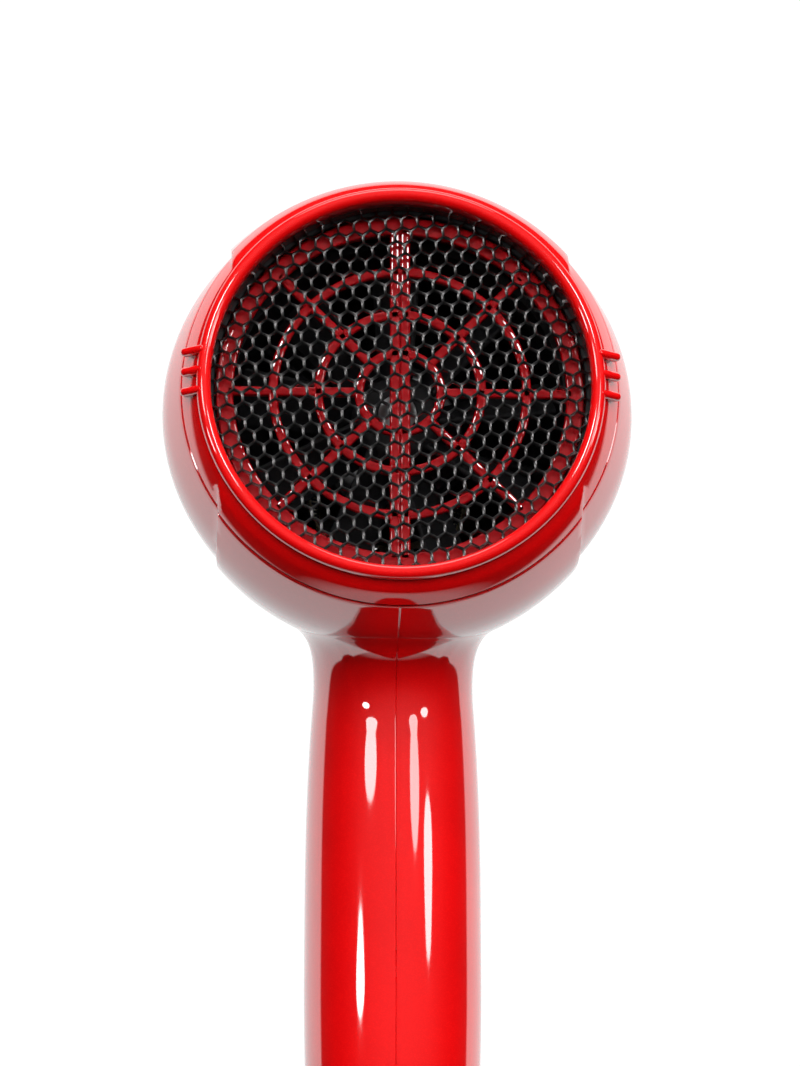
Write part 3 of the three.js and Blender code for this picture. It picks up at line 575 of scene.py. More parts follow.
# the handle's wall turns out into the underside of the body along a tangent curve
def handleSkin(bm, side):
    top, centre = handle["top"], handle["centre"]
    width = handleWidth(top)
    angles = [0.0, 0.004] + spread(0.012, math.pi - 0.012, 56) + [math.pi - 0.004, math.pi]
    columns = []
    for angle in angles:
        wall = handlePoint(top, angle)
        outward = Vector((wall.x / width, (wall.y - centre) / (width * handle["depthRatio"]), 0)).normalized()
        reach = mix(handle["filletSide"], handle["filletBack"], abs(outward.y) ** 1.5)
        foot = underBody(wall.x + outward.x * reach, wall.y + outward.y * reach)
        normal = bodyNormal(foot)
        bendZ = foot.z - (normal.x * (wall.x - foot.x) + normal.y * (wall.y - foot.y)) / normal.z
        start = handlePoint(bendZ - handle["filletDown"], angle)
        bend = Vector((mix(start.x, wall.x, 0.5), mix(start.y, wall.y, 0.5), bendZ))
        column = [foot + (foot - bend).normalized() * handle["overlap"] - normal * handle["sunk"]]
        for t in spread(0, 1, 14):
            column.append(foot * (1 - t) ** 2 + bend * (2 * t * (1 - t)) + start * t * t)
        for z in spread(start.z, handle["straightEnd"], 46)[1:]:
            column.append(handlePoint(z, angle))
        for z, inset in handle["round"]:
            column.append(handlePoint(z, angle, inset))
        edge = column[-1]
        for share in (0.75, 0.5, 0.25, 0.02):
            column.append(Vector((edge.x * share, mix(centre, edge.y, share), handle["end"])))
        columns.append(column)
    rows = []
    for i in range(len(columns[0])):
        row = []
        for column in columns:
            point = column[i].copy()
            point.y += grooveAt(point.x) * (1 if point.y < handle["centre"] else -1)
            point.x = side * max(abs(point.x), body["gap"])
            row.append(place(*point))
        rows.append(row)
    addSheet(bm, rows)


guard = {
    "depth": 9.1,
    "bar": 2.0,
    "height": 2.0,
    "rings": (8.9, 17.7, 27.5),
    "lip": 36.1,
    "collar": 39.9,
    "collarWall": 1.7,
    "webDepth": 14.5,
    "web": 2,
    "webOuter": 45.4,
    "centre": 2.2,
    "round": 0.45,
}


# half of a turned profile, closed where the two halves meet
def addHalfTurned(bm, profile, side, count):
    rows = []
    for radius, y in profile:
        rows.append([place(side * max(radius * math.sin(a), body["gap"]), y, radius * math.cos(a))
                     for a in spread(0, math.pi, count)])
    made = addSheet(bm, rows, wrapRows=True)
    bm.faces.new([row[0] for row in made])
    bm.faces.new([row[-1] for row in made][::-1])


# half of the moulded guard, its rings and spokes ending at the split
def guardHalf(bm, side):
    section = roundedBox(guard["bar"], guard["height"], guard["round"])
    mid = guard["depth"] + guard["height"] / 2
    gap = body["gap"]
    for radius in guard["rings"]:
        start = math.asin(gap / radius)
        steps = []
        for angle in spread(start, math.pi - start, 60):
            out = Vector((side * math.sin(angle), 0, math.cos(angle)))
            steps.append((out * radius + Vector((0, mid, 0)), out))
        addSweep(bm, section, steps)
    for degrees in (45, 90, 135):
        out = Vector((side * math.sin(math.radians(degrees)), 0, math.cos(math.radians(degrees))))
        across = Vector((out.z, 0, -out.x))
        ends = [out * r + Vector((0, mid, 0)) for r in (guard["rings"][0] + 0.3, guard["lip"] + 1)]
        addSweep(bm, section, [(end, across) for end in ends])
    middle = side * (gap + guard["centre"] / 2)
    centreBar = roundedBox(guard["centre"], guard["height"], guard["round"])
    ends = [Vector((middle, mid, z)) for z in (-guard["lip"] - 1, guard["lip"] + 1)]
    addSweep(bm, centreBar, [(end, Vector((1, 0, 0))) for end in ends])
    lip, collar, depth, web = guard["lip"], guard["collar"], guard["depth"], guard["webDepth"]
    r, inner, back = guard["round"], collar - guard["collarWall"], depth + guard["height"]
    profile = arc((lip + r, depth + r), r, 180, 270, 3) + arc((collar - r, depth + r), r, 270, 360, 3)
    profile += [(collar, web), (guard["webOuter"], web), (guard["webOuter"], web + guard["web"])]
    profile += [(inner, web + guard["web"]), (inner, back), (lip + r, back), (lip, back - r)]
    addHalfTurned(bm, profile, side, 72)


def spigotHalf(bm, side):
    outer, bore, end = body["spigot"], body["spigotBore"], body["spigotEnd"]
    start = body["front"] - 2
    profile = [(bore, start), (outer, start), (outer, end - 0.6), (outer - 0.2, end - 0.15),
               (outer - 0.6, end), (bore + 0.4, end), (bore, end - 0.4)]
    addHalfTurned(bm, profile, side, 64)


# what is cut out of the handle: rockers, button, screws and cord
windows = {
    "halfWidth": 5.4,
    "pivot": 68.5,
    "reach": 10.85,
    "heights": (-74, -100),
    "corner": 1.2,
    "buttonHeight": -55,
    "buttonRadius": 4.9,
    "screws": ((60, -43.4), (60, -118.2), (60, -158)),
    "screwRadius": 3.0,
    "cord": (60.5, 5.9),
}


def makeCutter():
    bm = bmesh.new()
    depths = (windows["pivot"] - 2, windows["pivot"] + 20)
    outline = roundedBox(windows["halfWidth"] * 2, windows["reach"] * 2, windows["corner"], 4)
    for z in windows["heights"]:
        addRod(bm, [[place(u, y, z + v) for u, v in outline] for y in depths])
    radius = windows["buttonRadius"]
    addLathe(bm, [(radius, 66), (radius, 90)], "y", (0, 0, windows["buttonHeight"]), 48, False)
    radius = windows["screwRadius"]
    for y, z in windows["screws"]:
        addLathe(bm, [(radius, -40), (radius, -8)], "x", (0, y, z), 48, False)
    depth, radius = windows["cord"]
    addLathe(bm, [(radius, -180), (radius, -170)], "z", (0, depth, 0), 48, False)
    return newObject("cutter", meshFrom(bm, "cutter"))


lug = {"depth": 45, "height": -179.2, "radius": 2.7, "end": 2.6, "soft": 0.3, "root": -174}


# half of the lug under the handle that holds the loop's pin
def lugHalf(bm, side):
    outline = arc((lug["depth"], lug["height"]), lug["radius"], 180, 360, 16)
    outline += [(lug["depth"] + lug["radius"], lug["root"]), (lug["depth"] - lug["radius"], lug["root"])]
    addRod(bm, [[place(side * x, y, z) for y, z in outline]
                for x in (body["gap"], lug["end"] - lug["soft"], lug["end"])])


def makeShell(name, node, side, cutter):
    bm = bmesh.new()
    bodySkin(bm, side)
    skin = newObject(name, meshFrom(bm, name))
    bm = bmesh.new()
    handleSkin(bm, side)
    grip = newObject(name + "Grip", meshFrom(bm, name + "Grip"))
    for piece in (skin, grip):
        faces = piece.data.polygons
        probe = max(faces, key=lambda f: abs(f.center.x))
        if probe.normal.x * side < 0:
            piece.data.flip_normals()
        wall = piece.modifiers.new("wall", "SOLIDIFY")
        wall.thickness = body["wall"] * mm
        wall.offset = -1
        wall.use_even_offset = piece is skin
        bakeModifiers(piece)
    cut = grip.modifiers.new("cut", "BOOLEAN")
    cut.operation = "DIFFERENCE"
    cut.object = cutter
    cut.solver = "EXACT"
    cut.use_self = True
    bakeModifiers(grip)
    bm = bmesh.new()
    bm.from_mesh(skin.data)
    bm.from_mesh(grip.data)
    extra = bmesh.new()
    guardHalf(extra, side)
    spigotHalf(extra, side)
    lugHalf(extra, side)
    fittings = meshFrom(extra, "fittings")
    bm.from_mesh(fittings)
    mesh = bpy.data.meshes.new(name)
    bm.to_mesh(mesh)
    bm.free()
    skin.data = mesh
    bpy.data.objects.remove(grip)
    return finishPiece(skin, "housing", (node,), redLacquer, 32)


cutter = makeCutter()
makeShell("shellLeft", "shell_left", -1, cutter)
makeShell("shellRight", "shell_right", 1, cutter)
bpy.data.objects.remove(cutter)
print("shells ready")

cap = {
    "rim": 44.0,
    "roll": 1.55,
    "seamRadius": 47.2,
    "back": 8.05,
    "bandRise": 0.8,
    "bore": 40.9,
    "seat": 7.1,
    "pocket": 42.95,
    "spigot": 44.55,
    "spigotEnd": 13.45,
    "ribPitch": 4.5,
    "ribHeight": 2.2,
    "ribRadius": 0.98,
    "ribDepths": (1.1, 3.7),
    "ribSink": 2.4,
}


# the raised band over the top and the bottom runs on over the skirt
def capBand(radius, depth, angle):
    if depth < 3.2 or radius < cap["rim"] - 0.2:
        return 0
    if depth > cap["back"] - 0.02 and radius < cap["spigot"] + 0.5:
        return 0
    half = body["bandTop"] if math.cos(angle) > 0 else body["bandBottom"]
    inside = smooth((half - abs(radius * math.sin(angle))) / body["bandEdge"] + 0.5)
    return cap["bandRise"] * inside * smooth((depth - 3.0) / 1.2)


def makeCap():
    roll, rim = cap["roll"], cap["rim"]
    profile = arc((rim - roll, roll), roll, 180, 360, 18)
    profile += [(rim - 0.02, 2.1), (rim - 0.25, 2.45), (rim - 0.28, 2.75)]
    profile += [(rim + 0.1, 2.95), (rim + 0.45, 3.25), (rim + 0.9, 3.9), (rim + 1.6, 5.0), (rim + 2.3, 6.2)]
    seam, back, spigot, end = (cap[key] for key in ("seamRadius", "back", "spigot", "spigotEnd"))
    profile += [(rim + 2.85, 7.2), (seam - 0.05, 7.8), (seam - 0.15, back - 0.05), (seam - 0.5, back)]
    profile += [(spigot, back), (spigot, end - 0.5), (spigot - 0.4, end), (cap["pocket"], end)]
    bore, seat = cap["bore"], cap["seat"]
    profile += [(cap["pocket"], seat), (bore + 0.1, seat), (bore, seat - 0.15)]
    bm = bmesh.new()
    addTurned(bm, profile, 480, capBand)
    for side in (-1, 1):
        for k in (-1, 0, 1):
            addRib(bm, side, cap["ribHeight"] + k * cap["ribPitch"])
    obj = newObject("intakeCap", meshFrom(bm, "intakeCap"))
    finishPiece(obj, "rear_cap", ("intake_cap",), redLacquer, 50)


# a rod with round ends, lying on the skirt from the rolled rim nearly to the seam
def addRib(bm, side, height):
    radius = cap["ribRadius"]
    rear, front = cap["ribDepths"]
    start = Vector((side * (cap["rim"] - cap["roll"] + 0.4), rear, height))
    end = Vector((side * (cap["seamRadius"] - 0.7), front, height))
    axis = (end - start).normalized()
    up = Vector((0, 0, 1))
    out = axis.cross(up).normalized()
    length = (end - start).length
    stations = [(-radius * math.cos(a), radius * math.sin(a)) for a in spread(0.12, math.pi / 2, 6)]
    stations += [(length + radius * math.sin(a), radius * math.cos(a))
                 for a in spread(0, math.pi / 2 - 0.12, 6)]
    sink = 1 if out.y > 0 else -1
    rows = []
    for s, r in stations:
        row = []
        for k in range(20):
            b = 2 * math.pi * k / 20
            deep = cap["ribSink"] if math.cos(b) * sink > 0 else 1
            row.append(place(*(start + axis * s + (out * math.cos(b) * deep + up * math.sin(b)) * r)))
        rows.append(row)
    addRod(bm, rows)


makeCap()
print("cap ready")

# sheet of six-sided holes with their real pitch
comb = {"radius": 41.3, "pitch": 3.5, "web": 0.6, "thickness": 0.6, "crown": 0.13, "dome": 1.0, "tilt": 6.2,
        "front": 7.4, "rim": 42.6, "cells": 34}


def newTree(name, inputs):
    tree = bpy.data.node_groups.new(name, "GeometryNodeTree")
    tree.interface.new_socket(name="Geometry", in_out="OUTPUT", socket_type="NodeSocketGeometry")
    for label, kind in inputs.items():
        tree.interface.new_socket(name=label, in_out="INPUT", socket_type="NodeSocket" + kind)
    return tree, tree.nodes.new("NodeGroupInput"), tree.nodes.new("NodeGroupOutput")


# every tree ends in real geometry with its material on
def endTree(tree, geometry, source, sink):
    real = addNode(tree, "GeometryNodeRealizeInstances")
    paint = addNode(tree, "GeometryNodeSetMaterial")
    tree.links.new(geometry, real.inputs["Geometry"])
    tree.links.new(real.outputs["Geometry"], paint.inputs["Geometry"])
    tree.links.new(source.outputs["Material"], paint.inputs["Material"])
    tree.links.new(paint.outputs["Geometry"], sink.inputs["Geometry"])
    return tree


# a grid of points sheared into rows, its dual cells opened and given a thickness
def combTree():
    tree, source, sink = newTree("honeycomb", {
        "Radius": "Float", "Pitch": "Float", "Web": "Float", "Thickness": "Float", "Crown": "Float",
        "Material": "Material"})
    link = tree.links.new

    def calc(operation, a, b=None):
        node = addNode(tree, "ShaderNodeMath", operation)
        for socket, value in zip(node.inputs, (a, b)):
            if isinstance(value, (int, float)):
                socket.default_value = value
            elif value is not None:
                link(value, socket)
        return node.outputs[0]

    cells = comb["cells"]
    grid = addNode(tree, "GeometryNodeMeshGrid", values={"Vertices X": cells, "Vertices Y": cells})
    index = addNode(tree, "GeometryNodeInputIndex").outputs[0]
    row = calc("MODULO", index, cells)
    column = calc("FLOOR", calc("DIVIDE", index, cells))
    v = calc("SUBTRACT", row, (cells - 1) / 2)
    u = calc("ADD", calc("SUBTRACT", column, (cells - 1) / 2), calc("MULTIPLY", v, 0.5))
    rowStep = calc("MULTIPLY", v, math.sqrt(0.75))
    spot = addNode(tree, "ShaderNodeCombineXYZ")
    link(calc("MULTIPLY", u, source.outputs["Pitch"]), spot.inputs["X"])
    link(calc("MULTIPLY", rowStep, source.outputs["Pitch"]), spot.inputs["Y"])
    lay = addNode(tree, "GeometryNodeSetPosition")
    link(grid.outputs["Mesh"], lay.inputs["Geometry"])
    link(spot.outputs["Vector"], lay.inputs["Position"])
    split = addNode(tree, "GeometryNodeTriangulate")
    split.quad_method = "SHORTEST_DIAGONAL"
    link(lay.outputs["Geometry"], split.inputs["Mesh"])
    dual = addNode(tree, "GeometryNodeDualMesh")
    link(split.outputs["Mesh"], dual.inputs["Mesh"])
    length = addNode(tree, "ShaderNodeVectorMath", "LENGTH")
    link(addNode(tree, "GeometryNodeInputPosition").outputs[0], length.inputs[0])
    trim = addNode(tree, "GeometryNodeDeleteGeometry")
    trim.domain = "FACE"
    link(dual.outputs["Dual Mesh"], trim.inputs["Geometry"])
    link(calc("GREATER_THAN", length.outputs["Value"], source.outputs["Radius"]), trim.inputs["Selection"])
    inset = addNode(tree, "GeometryNodeExtrudeMesh", values={"Offset Scale": 0})
    inset.mode = "FACES"
    link(trim.outputs["Geometry"], inset.inputs["Mesh"])
    shrink = addNode(tree, "GeometryNodeScaleElements")
    link(inset.outputs["Mesh"], shrink.inputs["Geometry"])
    link(inset.outputs["Top"], shrink.inputs["Selection"])
    share = calc("SUBTRACT", 1.0, calc("DIVIDE", source.outputs["Web"], source.outputs["Pitch"]))
    link(share, shrink.inputs["Scale"])
    lower = addNode(tree, "GeometryNodeSetPosition")
    dip = addNode(tree, "ShaderNodeCombineXYZ")
    link(calc("MULTIPLY", source.outputs["Crown"], -1.0), dip.inputs["Z"])
    link(shrink.outputs["Geometry"], lower.inputs["Geometry"])
    link(inset.outputs["Top"], lower.inputs["Selection"])
    link(dip.outputs["Vector"], lower.inputs["Offset"])
    opened = addNode(tree, "GeometryNodeDeleteGeometry")
    opened.domain = "FACE"
    link(lower.outputs["Geometry"], opened.inputs["Geometry"])
    link(inset.outputs["Top"], opened.inputs["Selection"])
    deepen = addNode(tree, "GeometryNodeExtrudeMesh", values={"Individual": False, "Offset Scale": 1.0})
    deepen.mode = "FACES"
    down = addNode(tree, "ShaderNodeCombineXYZ")
    link(calc("MULTIPLY", source.outputs["Thickness"], -1.0), down.inputs["Z"])
    link(opened.outputs["Geometry"], deepen.inputs["Mesh"])
    link(down.outputs["Vector"], deepen.inputs["Offset"])
    both = addNode(tree, "GeometryNodeJoinGeometry")
    link(deepen.outputs["Mesh"], both.inputs["Geometry"])
    link(opened.outputs["Geometry"], both.inputs["Geometry"])
    weld = addNode(tree, "GeometryNodeMergeByDistance", values={"Distance": 0.000002})
    link(both.outputs["Geometry"], weld.inputs["Geometry"])
    return endTree(tree, weld.outputs["Geometry"], source, sink)


def runTree(obj, tree, values):
    modifier = obj.modifiers.new(tree.name, "NODES")
    modifier.node_group = tree
    for item in tree.interface.items_tree:
        if item.item_type == "SOCKET" and item.in_out == "INPUT" and item.name in values:
            modifier[item.identifier] = values[item.name]
    return bakeModifiers(obj)


def makeComb():
    steel = materials["mesh_steel"]
    obj = newObject("intakeHoneycomb", bpy.data.meshes.new("intakeHoneycomb"))
    values = {label: comb[label.lower()] * mm for label in ("Radius", "Pitch", "Web", "Thickness", "Crown")}
    runTree(obj, combTree(), {**values, "Material": steel})
    turn = Matrix.Rotation(math.radians(90), 4, "X") @ Matrix.Rotation(math.radians(comb["tilt"]), 4, "Z")
    obj.data.transform(turn)
    for vertex in obj.data.vertices:
        away = Vector((vertex.co.x, 0, vertex.co.z)).length / (comb["radius"] * mm)
        vertex.co += place(0, comb["front"] - comb["dome"] * max(0, 1 - away * away), 0)
    bm = bmesh.new()
    bm.from_mesh(obj.data)
    bmesh.ops.recalc_face_normals(bm, faces=bm.faces)
    inner, outer = comb["radius"] - 0.3, comb["rim"]
    rear, front = comb["front"] - 0.02, comb["front"] + comb["thickness"]
    addTurned(bm, [(inner, rear), (outer, rear), (outer, front), (inner, front)], 144)
    bm.to_mesh(obj.data)
    bm.free()
    finishPiece(obj, "rear_cap", ("intake_mesh",), steel, 25)


makeComb()

bodyOf = {node: name for name, held in frame["record"]["behaviour"]["bodies"].items() for node in held}


def finishAs(obj, node, *more, sharp=38):
    return finishPiece(obj, bodyOf[node], (node, *more), materials[slotOf[node]], sharp)


# the name of a node's redrawn piece, such as motorCan for motor_can
def pieceName(node):
    return "".join(word if k == 0 else word.capitalize() for k, word in enumerate(node.split("_")))


def ringProfile(outer, inner, rear, front, soft=0.3):
    centre = ((outer + inner) / 2, (rear + front) / 2)
    return [(u + centre[0], v + centre[1]) for u, v in roundedBox(outer - inner, front - rear, soft)]


def softEdged(profile, soft=0.3):
    points = []
    count = len(profile)
    for k, corner in enumerate(profile):
        before, here, after = Vector(profile[k - 1]), Vector(corner), Vector(profile[(k + 1) % count])
        into, out = here - before, after - here
        reach = min(soft, into.length * 0.45, out.length * 0.45)
        if into.length < 1e-6 or out.length < 1e-6 or abs(into.normalized().dot(out.normalized())) > 0.98:
            points.append(tuple(here))
            continue
        first, last = here - into.normalized() * reach, here + out.normalized() * reach
        for t in (0, 0.33, 0.67, 1):
            points.append(tuple(first * (1 - t) ** 2 + here * (2 * t * (1 - t)) + last * t * t))
    return points


# copies of a mesh turned about the barrel's axis; the mesh is drawn about the origin
def aroundTree():
    tree, source, sink = newTree("aroundBarrel", {
        "Geometry": "Geometry", "Count": "Int", "Start": "Float", "Material": "Material"})
    link = tree.links.new
    points = addNode(tree, "GeometryNodePoints", values={"Position": rimCentre})
    index = addNode(tree, "GeometryNodeInputIndex")
    step = addNode(tree, "ShaderNodeMath", "DIVIDE")
    turn = addNode(tree, "ShaderNodeMath", "MULTIPLY_ADD", {1: 2 * math.pi})
    spin = addNode(tree, "ShaderNodeCombineXYZ")
    copies = addNode(tree, "GeometryNodeInstanceOnPoints")
    link(source.outputs["Count"], points.inputs["Count"])
    link(index.outputs[0], step.inputs[0])
    link(source.outputs["Count"], step.inputs[1])
    link(step.outputs[0], turn.inputs[0])
    link(source.outputs["Start"], turn.inputs[2])
    link(turn.outputs[0], spin.inputs["Y"])
    link(points.outputs["Points"], copies.inputs["Points"])
    link(source.outputs["Geometry"], copies.inputs["Instance"])
    link(spin.outputs["Vector"], copies.inputs["Rotation"])
    return endTree(tree, copies.outputs["Instances"], source, sink)


# copies of one piece at the points of a mesh, such as screws in their holes
def placesTree():
    tree, source, sink = newTree("atPlaces", {
        "Places": "Geometry", "Piece": "Object", "Material": "Material"})
    piece = addNode(tree, "GeometryNodeObjectInfo")
    copies = addNode(tree, "GeometryNodeInstanceOnPoints")
    tree.links.new(source.outputs["Piece"], piece.inputs["Object"])
    tree.links.new(source.outputs["Places"], copies.inputs["Points"])
    tree.links.new(piece.outputs["Geometry"], copies.inputs["Instance"])
    return endTree(tree, copies.outputs["Instances"], source, sink)


turnAbout = aroundTree()
setAt = placesTree()


def repeatAround(bm, part, count, material, start=0.0):
    obj = newObject("repeated", meshFrom(part, "repeated"))
    obj.data.transform(Matrix.Translation(-rimCentre))
    runTree(obj, turnAbout, {"Count": count, "Start": start, "Material": material})
    bm.from_mesh(obj.data)
    bpy.data.objects.remove(obj)


# pieces of the inside and the outlet that are plain turned rings
turnedSizes = {
    "mesh_retainer": ringProfile(42.65, 40.35, 8.3, 10.3),
    "duct_seal": ringProfile(40.2, 38.6, 23, 29, 0.5),
    "motor_can": softEdged([(4.3, 44), (15.5, 44), (15.5, 76), (14.2, 76), (14.2, 45.3), (4.3, 45.3)], 0.8),
    "motor_end_cap": softEdged([(4.3, 76.3), (15.5, 76.3), (15.5, 80.1), (4.3, 80.1)], 0.5),
    "bearing_rear": ringProfile(4, 1.9, 43.4, 46.8, 0.25),
    "bearing_front": ringProfile(4, 1.9, 76.7, 80.1, 0.25),
    "fan_clip": ringProfile(4.2, 1.9, 24.8, 25.4, 0.15),
    "heater_tube": ringProfile(18.8, 18.2, 88, 146, 0.12),
    "outlet_trim_ring": softEdged([(24, 138.3), (24, 139.6), (23.65, 139.8), (23.65, 140.3), (24, 140.5),
                                   (24, 143.9), (21.8, 143.9), (21.8, 138.3)], 0.35),
}
for node, profile in turnedSizes.items():
    bm = bmesh.new()
    addTurned(bm, profile, 128 if profile[0][0] > 20 else 72)
    finishAs(newObject(pieceName(node), meshFrom(bm, pieceName(node))), node)

fan = {"hub": 10, "tip": 35.2, "rear": 26, "length": 13, "blades": 9, "pitch": 38, "blade": 1.3, "bore": 1.9,
       "bow": 1.1, "reach": 7.4}


def fanBlade():
    bm = bmesh.new()
    mid = fan["rear"] + fan["length"] / 2
    rows = []
    for s in spread(fan["hub"] - 0.6, fan["tip"], 12):
        turn = math.radians(fan["pitch"]) * (0.7 + 0.5 * (s - fan["hub"]) / (fan["tip"] - fan["hub"]))
        row = []
        for u, v in roundedBox(fan["blade"], fan["length"] * 1.08, 0.6, 4):
            bow = u + fan["bow"] * (1 - (2 * v / fan["length"]) ** 2)
            x = bow * math.cos(turn) - v * math.sin(turn)
            y = mid + bow * math.sin(turn) + v * math.cos(turn)
            y = min(mid + fan["reach"], max(mid - fan["reach"], y))
            row.append(place(x, y, math.sqrt(max(1, s * s - x * x))))
        rows.append(row)
    addRod(bm, rows)
    return bm


def makeFan():
    hub, rear, front, bore = fan["hub"], fan["rear"], fan["rear"] + fan["length"], fan["bore"]
    bm = bmesh.new()
    profile = [(bore, rear - 0.4), (hub * 0.5, rear - 0.4), (hub * 0.85, rear + 0.8), (hub, rear + 3),
               (hub, front), (hub - 2, front), (hub - 2, rear + 5), (4.6, rear + 5), (4.6, front),
               (bore, front)]
    addTurned(bm, softEdged(profile, 0.8), 96)
    repeatAround(bm, fanBlade(), fan["blades"], materials["black_plastic"])
    finishAs(newObject("fanImpeller", meshFrom(bm, "fanImpeller")), "fan_impeller")


duct = {"radius": 38.3, "wall": 1.6, "rear": 20, "cone": 60, "neck": 86, "end": 93, "neckRadius": 20.9,
        "cup": (17.5, 15.9, 45, 72), "vanes": 7, "vane": (1.5, 12), "vaneDepth": 53.5, "vaneBow": 2.6}


def makeDuct():
    wall, outer, neck = duct["wall"], duct["radius"], duct["neckRadius"]
    outside = [(outer, duct["rear"])]
    for t in spread(0, 1, 16):
        outside.append((mix(outer, neck, smooth(t)), mix(duct["cone"] - 4, duct["neck"] + 2, t)))
    outside.append((neck, duct["end"]))
    inside = [(r - wall, y) for r, y in reversed(outside)]
    bm = bmesh.new()
    addTurned(bm, outside + inside, 128)
    addTurned(bm, ringProfile(*duct["cup"], 0.4), 96)
    vane = bmesh.new()
    rows = []
    for s in spread(duct["cup"][0] - 0.5, outer - wall / 2, 8):
        row = []
        for u, v in roundedBox(*duct["vane"], 0.6):
            bow = duct["vaneBow"] * math.sin(clamp01((v + 6) / 12)) - 1.2
            row.append(place(u + bow, duct["vaneDepth"] + v, s))
        rows.append(row)
    addRod(vane, rows)
    repeatAround(bm, vane, duct["vanes"], materials["black_plastic"])
    finishAs(newObject("fanDuct", meshFrom(bm, "fanDuct")), "fan_duct")


makeFan()
makeDuct()
print("fan and duct ready")

# a fine coil wound in wide turns round the mica cross
coil = {"radius": 16.9, "rear": 99, "front": 134, "turns": 5, "fine": 0.95, "wire": 0.2, "loops": 110,
        "steps": 10}


def makeCoil():
    total = coil["turns"] * coil["loops"] * coil["steps"]
    rows = []
    for k in range(total + 1):
        t = k / total
        wide = 2 * math.pi * coil["turns"] * t
        tight = 2 * math.pi * coil["turns"] * coil["loops"] * t
        out = Vector((math.sin(wide), 0, math.cos(wide)))
        spot = out * coil["radius"] + Vector((0, mix(coil["rear"], coil["front"], t), 0))
        away = out * math.cos(tight) + Vector((0, 1, 0)) * math.sin(tight)
        sideways = out.cross(Vector((0, 1, 0)))
        centre = spot + away * coil["fine"]
        rows.append([place(*(centre + (away * math.cos(b) + sideways * math.sin(b)) * coil["wire"]))
                     for b in (0, math.pi / 2, math.pi, 3 * math.pi / 2)])
    bm = bmesh.new()
    addRod(bm, rows)
    finishAs(newObject("heaterCoil", meshFrom(bm, "heaterCoil", 0.0000001)), "heater_coil", sharp=80)


makeCoil()

grille = {"outer": 18.9, "rim": 1.8, "ring": 9.5, "bar": 1.3, "rear": 149, "front": 151.4, "spokes": 6}


def makeGrille():
    bm = bmesh.new()
    rear, front, bar = grille["rear"], grille["front"], grille["bar"]
    addTurned(bm, ringProfile(grille["outer"], grille["outer"] - grille["rim"], rear, front, 0.35), 128)
    addTurned(bm, ringProfile(grille["ring"] + bar / 2, grille["ring"] - bar / 2, rear, front, 0.35), 96)
    addTurned(bm, ringProfile(2.6, 0.4, rear, front, 0.35), 48)
    bars = bmesh.new()
    rows = [[place(u, (rear + front) / 2 + v, s) for u, v in roundedBox(bar, front - rear, 0.35)]
            for s in (1.0, grille["outer"] - 1)]
    addRod(bars, rows)
    repeatAround(bm, bars, grille["spokes"], materials["black_plastic"])
    finishAs(newObject("outletGrille", meshFrom(bm, "outletGrille")), "outlet_grille")


nozzle = {"start": 144.3, "draw": 156.3, "front": 192, "outer": 23.9, "bore": 21.8, "inner": 19.2,
          "step": 154.3, "mouthLength": 58, "mouthWidth": 9.6, "lip": 1.8, "grips": 36}


# one section of the nozzle, round at its start and a long slot at its mouth
def nozzleRow(y, round, inset, shrink=0.0):
    t = clamp01((y - nozzle["draw"]) / (nozzle["front"] - nozzle["draw"]))
    t = 0.5 * t + 0.5 * t * t * (3 - 2 * t)
    halfWidth = mix(round, nozzle["mouthWidth"] / 2 - inset, t) - shrink
    halfHeight = mix(round, nozzle["mouthLength"] / 2 - inset, t) - shrink
    power = mix(2, 3.4, t)
    row = []
    for k in range(192):
        angle = 2 * math.pi * k / 192
        swing = math.atan2(math.sin(angle), math.cos(angle) * mix(1, 2.2, t))
        x = abs(math.sin(swing) / halfWidth) ** power
        z = abs(math.cos(swing) / halfHeight) ** power
        r = (x + z) ** (-1 / power)
        row.append(place(r * math.sin(swing), y, r * math.cos(swing)))
    return row


def makeNozzle():
    start, front, outer, inner, bore, step = (
        nozzle[key] for key in ("start", "front", "outer", "inner", "bore", "step"))
    rows = [nozzleRow(start, outer, 0, 0.5), nozzleRow(start + 0.15, outer, 0, 0.15)]
    rows.append(nozzleRow(start + 0.5, outer, 0))
    rows += [nozzleRow(y, outer, 0) for y in spread(start + 2, nozzle["draw"], 3)]
    rows += [nozzleRow(y, outer, 0) for y in spread(nozzle["draw"], front - 0.5, 30)[1:]]
    rows += [nozzleRow(front - 0.12, outer, 0, 0.12), nozzleRow(front, outer, 0, 0.5)]
    lip = nozzle["lip"]
    rows += [nozzleRow(front, inner, lip, -0.4), nozzleRow(front - 0.12, inner, lip, -0.1)]
    rows += [nozzleRow(y, inner, lip) for y in spread(front - 0.5, nozzle["draw"], 22)]
    rows += [nozzleRow(step, inner, 0), nozzleRow(step, bore, 0), nozzleRow(start + 0.4, bore, 0),
             nozzleRow(start, bore, 0, -0.4)]
    bm = bmesh.new()
    addSheet(bm, rows, wrapColumns=True, wrapRows=True)
    grip = bmesh.new()
    rows = []
    for y, size in ((2.7, 0.1), (3, 0.42), (3.9, 0.5), (9.1, 0.5), (10, 0.42), (10.3, 0.1)):
        rows.append([place(size * math.cos(a), start + y, outer + 0.1 + size * 0.8 * math.sin(a))
                     for a in [2 * math.pi * k / 10 for k in range(10)]])
    addRod(grip, rows)
    repeatAround(bm, grip, nozzle["grips"], materials["black_plastic"])
    finishAs(newObject("nozzleConcentrator", meshFrom(bm, "nozzleConcentrator")), "nozzle")


makeGrille()
makeNozzle()
print("outlet ready")

button = {"height": windows["buttonHeight"], "radius": 4.4, "top": local(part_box("cool_button")[1]).y,
          "flange": 5.5, "flangeDepth": 69.2, "sheet": 1.3, "plunger": 1.2, "plungerEnd": 64.8, "dish": 0.45}


